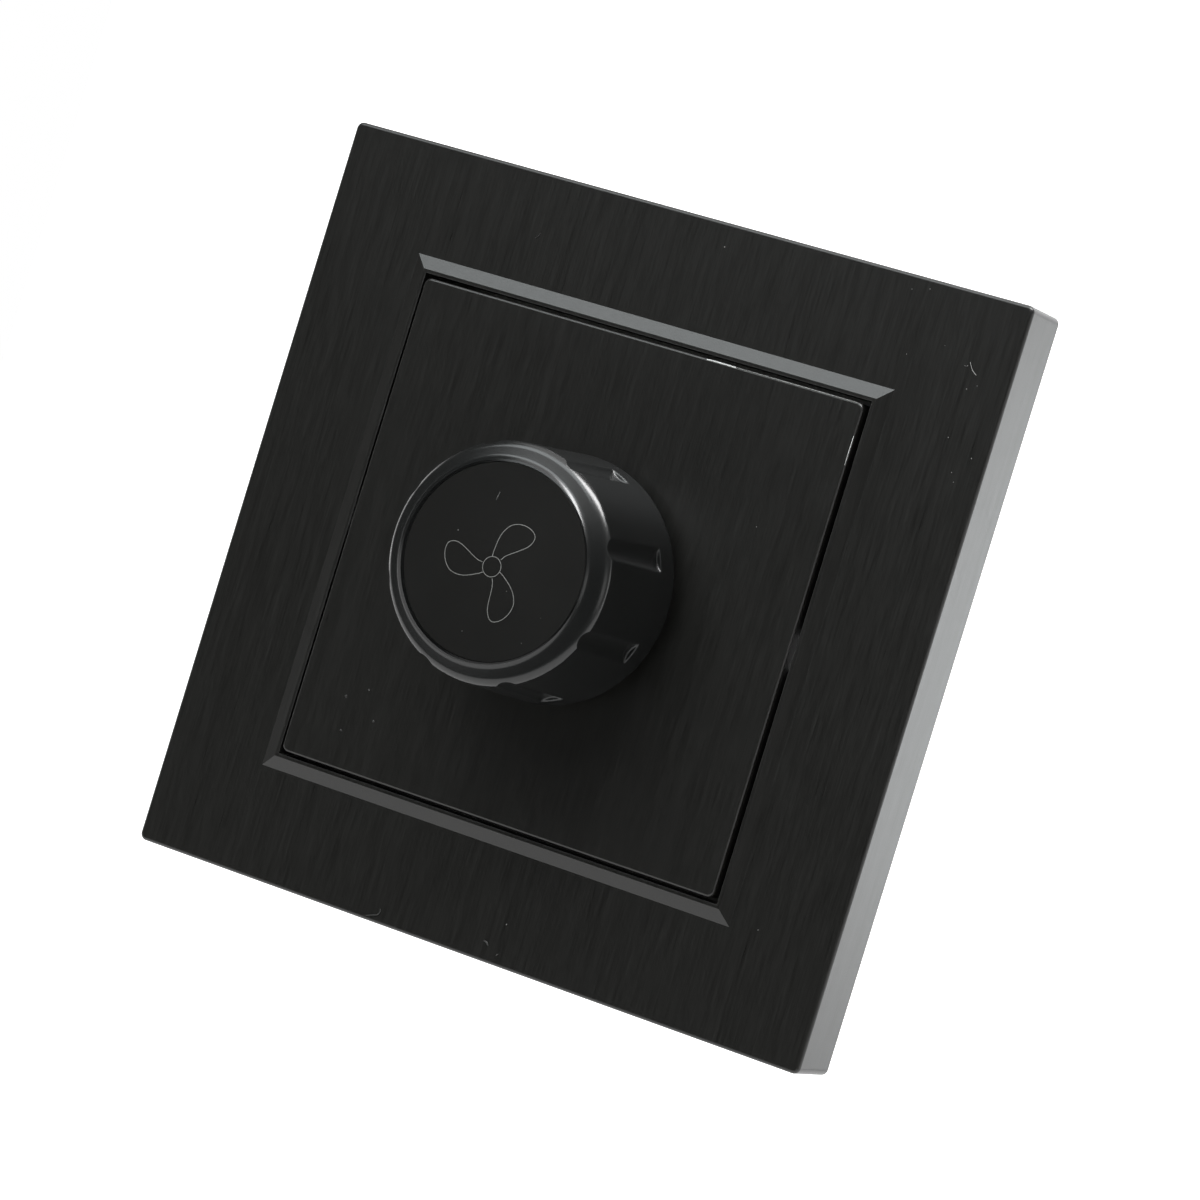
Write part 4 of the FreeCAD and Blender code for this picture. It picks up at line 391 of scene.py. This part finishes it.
# %% Metals and plastics of the rotary control
cast_zinc = finish("die-cast zinc", (0.50, 0.50, 0.50), (0.60, 0.60, 0.59), 0.42, metal=1.0,
                   texture=1800.0, bump=0.25)
dress(cast_zinc, "potentiometer_bushing")
bright_plate = finish("bright nickel plate", (0.60, 0.58, 0.54), (0.70, 0.68, 0.63), 0.22, metal=1.0,
                      texture=1500.0, bump=0.08)
dress(bright_plate, "potentiometer_case", "potentiometer_nut", "potentiometer_washer", "potentiometer_pins")
turned_metal = finish("turned aluminium", (0.62, 0.62, 0.62), (0.72, 0.72, 0.71), 0.28, metal=1.0,
                      surface=streaky_grain, texture=(150.0, 9000.0, 150.0), bump=0.3)
dress(turned_metal, "potentiometer_shaft")
spring_steel = finish("blued spring steel", (0.17, 0.18, 0.20), (0.27, 0.28, 0.30), 0.30, metal=1.0,
                      surface=streaky_grain, texture=(1200.0, 1200.0, 90.0), bump=0.15)
dress(spring_steel, "knob_spring_clip", "shaft_ring")
bronze = finish("spring bronze", (0.62, 0.40, 0.20), (0.72, 0.50, 0.28), 0.28, metal=1.0,
                surface=streaky_grain, texture=(1500.0, 1500.0, 120.0), bump=0.15)
dress(bronze, "wiper_spring", "switch_bridge", "switch_contacts")
pale_carrier = finish("pale moulded carrier", (0.66, 0.62, 0.52), (0.74, 0.70, 0.60), 0.48,
                      texture=2400.0, bump=0.2)
dress(pale_carrier, "potentiometer_rotor")
carbon_track = finish("laminate with carbon", (0.05, 0.035, 0.025), (0.16, 0.08, 0.04), 0.55,
                      texture=1400.0, bump=0.2)
dress(carbon_track, "resistance_track")

# %% [markdown]
# ## The board and its parts
#
# These are seen only with the module open, but each still gets its own finish: brown paper laminate,
# enamelled copper, iron powder with a yellow coat, dipped capacitors, lacquered resistors and tinned brass.

# %% Finishes inside the module
laminate = finish("paper laminate", (0.36, 0.23, 0.10), (0.46, 0.31, 0.15), 0.45, surface=streaky_grain,
                  texture=(700.0, 700.0, 500.0), bump=0.2, edge_tone=(0.55, 0.42, 0.25))
dress(laminate, "circuit_board")
extruded = finish("extruded aluminium", (0.66, 0.67, 0.68), (0.76, 0.77, 0.78), 0.35, metal=1.0,
                  surface=streaky_grain, texture=(2500.0, 60.0, 2500.0), bump=0.3)
dress(extruded, "heat_sink")
epoxy = finish("moulded epoxy", (0.014, 0.014, 0.015), (0.022, 0.022, 0.023), 0.50, texture=3200.0, bump=0.3)
dress(epoxy, "triac")
silicone = finish("silicone sheet", (0.26, 0.27, 0.30), (0.34, 0.35, 0.38), 0.62, surface=streaky_grain,
                  texture=(2400.0, 2400.0, 1800.0), bump=0.4)
dress(silicone, "thermal_pad")
dipped_red = finish("dipped red lacquer", (0.38, 0.06, 0.03), (0.48, 0.10, 0.05), 0.25, texture=420.0,
                    bump=0.5, depth=0.06 * MM, coat=0.5)
dress(dipped_red, "film_capacitor")
dipped_brown = finish("dipped brown lacquer", (0.25, 0.09, 0.02), (0.34, 0.13, 0.04), 0.25, texture=520.0,
                      bump=0.5, depth=0.06 * MM, coat=0.5)
dress(dipped_brown, "timing_capacitor")
iron_powder = finish("coated iron powder", (0.55, 0.44, 0.06), (0.66, 0.54, 0.11), 0.50, texture=2200.0,
                     bump=0.5)
dress(iron_powder, "choke_core")
enamel = finish("enamelled copper", (0.45, 0.13, 0.045), (0.58, 0.20, 0.07), 0.18, metal=0.9, texture=1500.0,
                bump=0.1, coat=0.6)
dress(enamel, "choke_winding")
lacquer = finish("resistor lacquer", (0.50, 0.36, 0.18), (0.60, 0.45, 0.26), 0.35, texture=1500.0, bump=0.2,
                 coat=0.3)
dress(lacquer, "resistors")
glass_bead = finish("painted glass bead", (0.03, 0.07, 0.30), (0.06, 0.12, 0.40), 0.15, texture=900.0,
                    bump=0.1, coat=0.6)
dress(glass_bead, "diac")
ceramic = finish("white ceramic tube", (0.72, 0.71, 0.67), (0.80, 0.79, 0.75), 0.30, texture=1300.0,
                 bump=0.1, coat=0.3)
dress(ceramic, "fuse")
tinned_brass = finish("tinned brass", (0.60, 0.54, 0.40), (0.70, 0.64, 0.50), 0.32, metal=1.0,
                      surface=streaky_grain, texture=(1500.0, 1500.0, 200.0), bump=0.2)
dress(tinned_brass, "fuse_clips", "terminal_cages", "terminal_tabs")

# %% [markdown]
# ## The fan sign
#
# A thin line drawing of a three-bladed fan is printed on the knob's disc. A printed line is a flat ribbon
# with hardly any thickness. Each blade starts and ends on the hub's ring, so its outline is a smooth curve
# through a few given points, and the other two blades are the same curve turned by a third of a circle.


# %% A smooth line through a few points
def smooth_line(points, steps=10):
    """Points along a curve that passes smoothly through the given ones."""
    last = len(points) - 1
    line = []
    for i in range(last):
        around = [points[min(max(i + k, 0), last)] for k in (-1, 0, 1, 2)]
        for step in range(steps):
            t = step / steps
            # Each new point is a weighted mean of the four given points around it.
            weights = (-t**3 + 2 * t**2 - t, 3 * t**3 - 5 * t**2 + 2, -3 * t**3 + 4 * t**2 + t, t**3 - t**2)
            line.append(tuple(sum(w * p[axis] for w, p in zip(weights, around)) / 2 for axis in (0, 1)))
    return line + [points[-1]]


print("a line of 3 points gets", len(smooth_line([(0, 0), (1, 1), (2, 0)])), "points")


# %% A flat ribbon along a line, and a piece from a mesh
def ribbon(bm, line, width, front, thickness, closed=False):
    """A flat strip of a given width along a line in the X-Z plane, with its face towards the room."""
    count = len(line)
    rows = []
    for i, (x, z) in enumerate(line):
        before = line[(i - 1) % count] if closed or i else line[i]
        after = line[(i + 1) % count] if closed or i < count - 1 else line[i]
        along = Vector((after[0] - before[0], after[1] - before[1])).normalized()
        aside = Vector((-along.y, along.x)) * width / 2
        row = []
        for side, y in ((1, front), (-1, front), (-1, front + thickness), (1, front + thickness)):
            row.append(bm.verts.new(((x + aside.x * side) * MM, y * MM, (z + aside.y * side) * MM)))
        rows.append(row)
    for i in range(count if closed else count - 1):
        here, there = rows[i], rows[(i + 1) % count]
        for a in range(4):
            b = (a + 1) % 4
            bm.faces.new((here[a], here[b], there[b], there[a]))
    if not closed:
        bm.faces.new(rows[0][::-1])
        bm.faces.new(rows[-1])


def as_piece(bm, name, material, body, smooth=True):
    """Turn a bmesh into a named object that rides on a body."""
    bmesh.ops.recalc_face_normals(bm, faces=bm.faces)
    mesh = bpy.data.meshes.new(name)
    bm.to_mesh(mesh)
    bm.free()
    for face in mesh.polygons:
        face.use_smooth = smooth
    mesh.materials.append(material)
    piece = bpy.data.objects.new(name, mesh)
    bpy.context.scene.collection.objects.link(piece)
    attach(piece, body)
    return piece


# %% Draw the sign
disc_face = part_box("knob_insert")[0].y / MM
hub_x, hub_z = -0.05, -0.57
hub_radius = 1.10
hub_steps = 48
line_width = 0.08
print_lift, print_thickness = 0.006, 0.010
blade = [(-0.30, 1.10), (-0.30, 1.82), (-0.14, 3.18), (0.27, 4.20), (0.95, 4.93), (1.98, 5.23), (3.00, 5.11),
         (3.75, 4.66), (3.93, 4.09), (3.57, 3.30), (2.77, 2.61), (1.86, 2.00), (1.18, 1.48), (0.80, 0.98)]
print_grey = finish("printed grey line", (0.17, 0.17, 0.16), (0.27, 0.27, 0.26), 0.5, texture=9000.0, bump=0.1)
print_front = disc_face - print_lift
bm = bmesh.new()
ring = [(hub_x + hub_radius * math.cos(a), hub_z + hub_radius * math.sin(a))
        for a in (2 * math.pi * i / hub_steps for i in range(hub_steps))]
ribbon(bm, ring, line_width, print_front, print_thickness, closed=True)
for third in range(3):
    angle = 2 * math.pi * third / 3
    turned = [(hub_x + x * math.cos(angle) - z * math.sin(angle),
               hub_z + x * math.sin(angle) + z * math.cos(angle)) for x, z in blade]
    ribbon(bm, smooth_line(turned), line_width, print_front, print_thickness)
fan_sign = as_piece(bm, "fan_sign", print_grey, "knob", smooth=False)
print("fan sign faces:", len(fan_sign.data.polygons))

# %% [markdown]
# ## Lint and specks
#
# A few fibres and flecks have settled on the black plastic. They could be painted into the finish, but a hair
# that lies on the plate catches the light as a small thing of its own. So a fibre is a thin tube along a
# given line, and a fleck is a low eight-sided grain with an uneven foot.


# %% A fibre
def fibre(bm, line, radius, front, sides=6, tip=0.45):
    """A thin tube that lies on a surface facing the room. Its ends are a share, the tip, of its radius."""
    points = smooth_line(line, steps=5)
    rings = []
    for i, (x, z) in enumerate(points):
        before, after = points[max(i - 1, 0)], points[min(i + 1, len(points) - 1)]
        along = Vector((after[0] - before[0], after[1] - before[1])).normalized()
        thick = radius * (tip + (1 - tip) * math.sin(math.pi * (i + 0.5) / len(points)))
        ring = []
        for k in range(sides):
            turn = 2 * math.pi * k / sides
            aside, lift = thick * math.cos(turn), thick * math.sin(turn)
            spot = (x - along.y * aside, front - thick + lift, z + along.x * aside)
            ring.append(bm.verts.new([v * MM for v in spot]))
        rings.append(ring)
    for here, there in zip(rings, rings[1:]):
        for k in range(sides):
            bm.faces.new((here[k], here[(k + 1) % sides], there[(k + 1) % sides], there[k]))
    bm.faces.new(rings[0][::-1])
    bm.faces.new(rings[-1])


# %% A fleck
chance = random.Random(7)
fleck_lift = 0.002
fleck_height = 0.6


def fleck(bm, x, z, radius, front, corners=8):
    """A small uneven grain, flatter than it is wide."""
    foot = []
    for k in range(corners):
        turn = 2 * math.pi * k / corners
        reach = radius * chance.uniform(0.75, 1.15)
        spot = (x + reach * math.cos(turn), front - fleck_lift, z + reach * math.sin(turn))
        foot.append(bm.verts.new([v * MM for v in spot]))
    top = bm.verts.new((x * MM, (front - radius * fleck_height) * MM, z * MM))
    for k in range(corners):
        bm.faces.new((foot[k], foot[(k + 1) % corners], top))
    bm.faces.new(foot[::-1])


print("a fleck's height is", fleck_height, "of its radius")

# %% [markdown]
# ## Lint on the wall plate
#
# The plate's flat face is 8.2 mm in front of the wall. A bright hair lies in its upper right corner, with most
# of the bright flecks round it. Of the four duller fibres three lie along the lower edge and one lies near the
# upper edge. One more bright fleck lies on the centre plate.

# %% Bright and dull lint
plate_front = -8.2
centre_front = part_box("centre_plate")[0].y / MM
# The bright lint material also paints the highlight along the centre plate's upper edge.
bright_lint_and_highlight = finish("bright lint and painted highlight", (0.26, 0.26, 0.25), (0.38, 0.38, 0.37), 0.7, texture=20000.0, bump=0.2)
faint_lint = finish("faint lint", (0.03, 0.03, 0.029), (0.06, 0.06, 0.057), 0.7, texture=20000.0, bump=0.2)

bm = bmesh.new()
fibre(bm, [(37.76, 35.43), (38.28, 34.67), (38.88, 34.23)], 0.045, plate_front)
fibre(bm, [(37.50, 34.90), (37.62, 35.02)], 0.035, plate_front)
for x, z, radius in [(37.30, 34.90, 0.05), (28.78, 41.32, 0.05), (30.79, 41.84, 0.06), (30.41, 34.41, 0.05),
                     (34.39, 36.42, 0.04), (38.25, 32.56, 0.06), (39.30, 33.18, 0.05), (4.86, -38.18, 0.07),
                     (33.69, -29.62, 0.06), (37.89, 27.01, 0.07), (41.14, 25.56, 0.07), (39.44, 23.53, 0.05),
                     (39.97, 22.59, 0.06)]:
    fleck(bm, x, z, radius, plate_front)
fleck(bm, 20.07, 11.86, 0.06, centre_front)
as_piece(bm, "bright_lint_and_highlight", bright_lint_and_highlight, "base")

bm = bmesh.new()
fibre(bm, [(-12.11, -42.50), (-11.27, -42.20), (-10.69, -41.95), (-10.50, -41.54), (-10.63, -41.27)], 0.07,
      plate_front)
fibre(bm, [(2.81, -40.69), (3.23, -40.78), (3.51, -41.10)], 0.11, plate_front)
fibre(bm, [(4.75, -41.85), (4.85, -41.70), (4.97, -41.58)], 0.07, plate_front)
fibre(bm, [(-16.79, 35.57), (-16.50, 35.80), (-16.26, 36.29)], 0.05, plate_front)
plate_lint = as_piece(bm, "plate_lint", faint_lint, "base")
print("plate lint faces:", len(plate_lint.data.polygons))

# %% [markdown]
# ## Flecks and painted edge highlights on the centre plate
#
# Four dull flecks lie at its lower left. A painted glint sits in one spot on its upper edge, a thinner painted
# highlight runs along that edge to the right of it, and a short painted highlight lies on its right edge near
# the top. Each is a pale ribbon that hardly stands proud, a tenth of a millimetre inside the plate's outline.

# %% Flecks, and the painted glint and highlights on the edges
bm = bmesh.new()
for x, z, radius in [(-22.00, -19.83, 0.17), (-19.43, -18.37, 0.18), (-21.34, -23.64, 0.19),
                     (-17.74, -21.51, 0.18)]:
    fleck(bm, x, z, radius, centre_front)
as_piece(bm, "centre_lint", faint_lint, "base")

edge_inset = 0.10
mark_front = centre_front - 0.008
mark_thickness = 0.02
upper_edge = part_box("centre_plate")[1].z / MM - edge_inset
right_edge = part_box("centre_plate")[1].x / MM - edge_inset
glint_end, highlight_height = upper_edge - 0.03, upper_edge + 0.01
# A pale material for the painted glint and the painted highlight on the right edge.
painted_edge_glint = finish("painted edge glint", (0.80, 0.80, 0.78), (0.92, 0.92, 0.90), 0.35, texture=20000.0,
                     bump=0.2)

bm = bmesh.new()
# The painted glint on the upper edge, and the painted highlight on the right edge.
glint_line = smooth_line([(8.5, glint_end), (9.3, upper_edge), (11.3, upper_edge), (12.1, glint_end)])
ribbon(bm, glint_line, 0.15, mark_front, mark_thickness)
ribbon(bm, [(right_edge, 21.0), (right_edge, 24.3)], 0.06, mark_front, mark_thickness)
as_piece(bm, "painted_edge_glint", painted_edge_glint, "base")

bm = bmesh.new()
# The painted highlight along the rest of the upper edge, in the bright lint material.
ribbon(bm, [(12.3, highlight_height), (20.0, highlight_height), (27.2, highlight_height)], 0.08, mark_front, mark_thickness)
as_piece(bm, "painted_edge_highlight", bright_lint_and_highlight, "base")
print("edges marked at", round(upper_edge, 2), "and", round(right_edge, 2), "mm")

# %% [markdown]
# ## Lint on the disc
#
# One short hair and five flecks lie on the disc. They ride on the knob, so they turn with it.

# %% A hair and flecks on the disc
bm = bmesh.new()
fibre(bm, [(-1.70, 7.35), (-1.82, 6.85), (-1.86, 6.38)], 0.02, disc_face)
for x, z, radius in [(-1.20, -8.10, 0.06), (6.00, -7.40, 0.05), (-5.20, 2.10, 0.05), (2.50, -2.60, 0.04),
                     (7.30, -4.20, 0.04)]:
    fleck(bm, x, z, radius, disc_face)
as_piece(bm, "disc_lint", bright_lint_and_highlight, "knob")

# %% [markdown]
# ## Floor and backdrop
#
# A pale sheet lies below the switch and another stands behind it. To the camera both are plain white. The
# black plastic also mirrors them faintly. The part of the floor in front of the switch would turn the lower
# side of the knob grey, so mirror rays see that part nearly dark. A lighter zone starts 0.28 m in front of the
# wall and ends 0.9 m behind it. The two sheets could be one bent sheet, but each needs its own mirror share.


# %% A pale sheet
def pale_sheet(name, corners, mirrored, zones=(), zone_blur=0.04):
    """A flat sheet that is white to the camera. Mirror and glass rays see it at the given strength, and more
    in each zone, which has a start and an end along Y and a strength."""
    mesh = bpy.data.meshes.new(name)
    mesh.from_pydata(corners, [], [(0, 1, 2, 3)])
    sheet = bpy.data.objects.new(name, mesh)
    bpy.context.scene.collection.objects.link(sheet)
    material = bpy.data.materials.new(name)
    material.use_nodes = True
    tree = material.node_tree
    shader = tree.nodes["Principled BSDF"]
    shader.inputs["Roughness"].default_value = 0.9
    shader.inputs["Specular IOR Level"].default_value = 0.1
    spot = put(tree, "ShaderNodeTexCoord").outputs["Object"]
    fibres = put(tree, "ShaderNodeTexNoise", scale=400.0, detail=3.0, vector=spot)
    colour = blend(tree, fibres.outputs[0], (0.74, 0.74, 0.74, 1.0), (0.78, 0.78, 0.78, 1.0))
    path = put(tree, "ShaderNodeLightPath")
    mirror = number(tree, "MAXIMUM", path.outputs["Is Glossy Ray"], path.outputs["Is Transmission Ray"])
    shade = mirrored * 0.8
    tree.links.new(blend(tree, mirror, colour, (shade, shade, shade, 1.0)), shader.inputs["Base Color"])
    gleam = mirrored
    along = put(tree, "ShaderNodeSeparateXYZ", vector=spot).outputs[1]
    for start, end, strength in zones:
        rise = number(tree, "DIVIDE", number(tree, "SUBTRACT", along, start), zone_blur, clamp=True)
        fall = number(tree, "DIVIDE", number(tree, "SUBTRACT", end, along), zone_blur, clamp=True)
        patch = number(tree, "MULTIPLY", number(tree, "MULTIPLY", rise, fall), strength)
        gleam = number(tree, "ADD", patch, gleam)
    seen = number(tree, "MAXIMUM", path.outputs["Is Camera Ray"], number(tree, "MULTIPLY", mirror, gleam))
    shader.inputs["Emission Color"].default_value = (1.0, 1.0, 1.0, 1.0)
    tree.links.new(seen, shader.inputs["Emission Strength"])
    mesh.materials.append(material)


# %% Lay one sheet and stand the other
reach, behind, ground = 2.2, 1.1, -0.20
backdrop_left = -0.8
pale_sheet("floor", [(-reach, -reach, ground), (reach, -reach, ground), (reach, behind, ground),
                     (-reach, behind, ground)], 0.05, zones=[(-0.28, 0.9, 1.5)])
pale_sheet("backdrop", [(backdrop_left, behind, ground), (reach, behind, ground), (reach, behind, reach),
                        (backdrop_left, behind, reach)], 1.2)

# %% [markdown]
# ## Room light
#
# The room is dark in front of the switch, a little lighter to the left and lighter still to the right. A world
# shader can do that with a gradient over the direction of the ray. The camera itself sees plain white.

# %% World
world = bpy.data.worlds.new("room light")
bpy.context.scene.world = world
world.use_nodes = True
tree = world.node_tree
path = put(tree, "ShaderNodeLightPath")
way = put(tree, "ShaderNodeSeparateXYZ", vector=put(tree, "ShaderNodeTexCoord").outputs["Generated"])
left_light, right_light = 0.13, 0.21
leftward = number(tree, "MULTIPLY", way.outputs[0], -1.0)
left = number(tree, "MULTIPLY", number(tree, "MAXIMUM", leftward, 0.0), left_light)
right = number(tree, "MULTIPLY", number(tree, "MAXIMUM", way.outputs[0], 0.0), right_light)
room = number(tree, "ADD", left, right)
background = tree.nodes["Background"]
background.inputs["Color"].default_value = (1.0, 1.0, 1.0, 1.0)
tree.links.new(number(tree, "MAXIMUM", room, path.outputs["Is Camera Ray"]), background.inputs["Strength"])
print("room light, left and right:", left_light, right_light)

# %% [markdown]
# ## Lamps
#
# A black glossy object shows little of its own colour. It mainly mirrors what stands round it, so each lamp
# is there for one surface that mirrors it. A wide one above the front serves the upper bevel and the top of the
# knob's rim, and a bright one above on the right draws the two lines on the rim's upper right. Rays that leave
# a matt surface don't see that one, so it doesn't wash out the shade beside the knob. A faint one high in front
# serves the band between those lines. Two more hang overhead and behind for the top of the knob, and three low
# ones serve the knob's side and the rim's left. A small one behind on the right lights the side wall.
# A lamp's brightness is given per unit of its face, because that is what a glossy surface mirrors, whatever
# the lamp's size.


# %% A lamp
def softbox(name, direction, width, height, radiance, distance=1.2, tint=(1.0, 1.0, 1.0)):
    """A rectangular lamp that faces the switch. The camera doesn't see it."""
    data = bpy.data.lights.new(name, "AREA")
    data.shape = "RECTANGLE"
    data.size, data.size_y = width, height
    data.energy = radiance * math.pi * width * height
    data.color = tint
    lamp = bpy.data.objects.new(name, data)
    bpy.context.scene.collection.objects.link(lamp)
    way = Vector(direction).normalized()
    lamp.matrix_world = Matrix.Translation(way * distance) @ way.to_track_quat("Z", "Y").to_matrix().to_4x4()
    lamp.visible_camera = False
    return lamp


# %% Place the lamps
softbox("lamp_above", (-0.25, -0.66, 0.70), 1.0, 0.60, 5.6, tint=(0.94, 0.99, 1.0))
rim_lamp = softbox("lamp_above_right", (0.31, -0.37, 0.87), 0.85, 0.36, 28.0)
rim_lamp.visible_diffuse = False
softbox("lamp_overhead", (-0.25, -0.10, 0.96), 0.8, 0.7, 1.8)
softbox("lamp_above_behind", (0.0, 0.60, 0.80), 1.0, 0.5, 3.8)
softbox("lamp_front_high", (-0.28, -0.89, 0.36), 0.6, 0.3, 1.4)
softbox("lamp_right", (1.0, 0.1, 0.1), 0.4, 0.6, 2.8)
softbox("lamp_right_front", (0.80, -0.60, 0.0), 0.5, 0.5, 1.3)
softbox("lamp_left_behind", (-0.97, 0.24, 0.0), 0.55, 0.9, 2.2)
softbox("lamp_behind_right", (0.43, 0.90, 0.0), 0.4, 0.2, 1.5, distance=1.0, tint=(0.93, 0.99, 1.0))
print("lamps:", [light.name for light in bpy.data.lights])
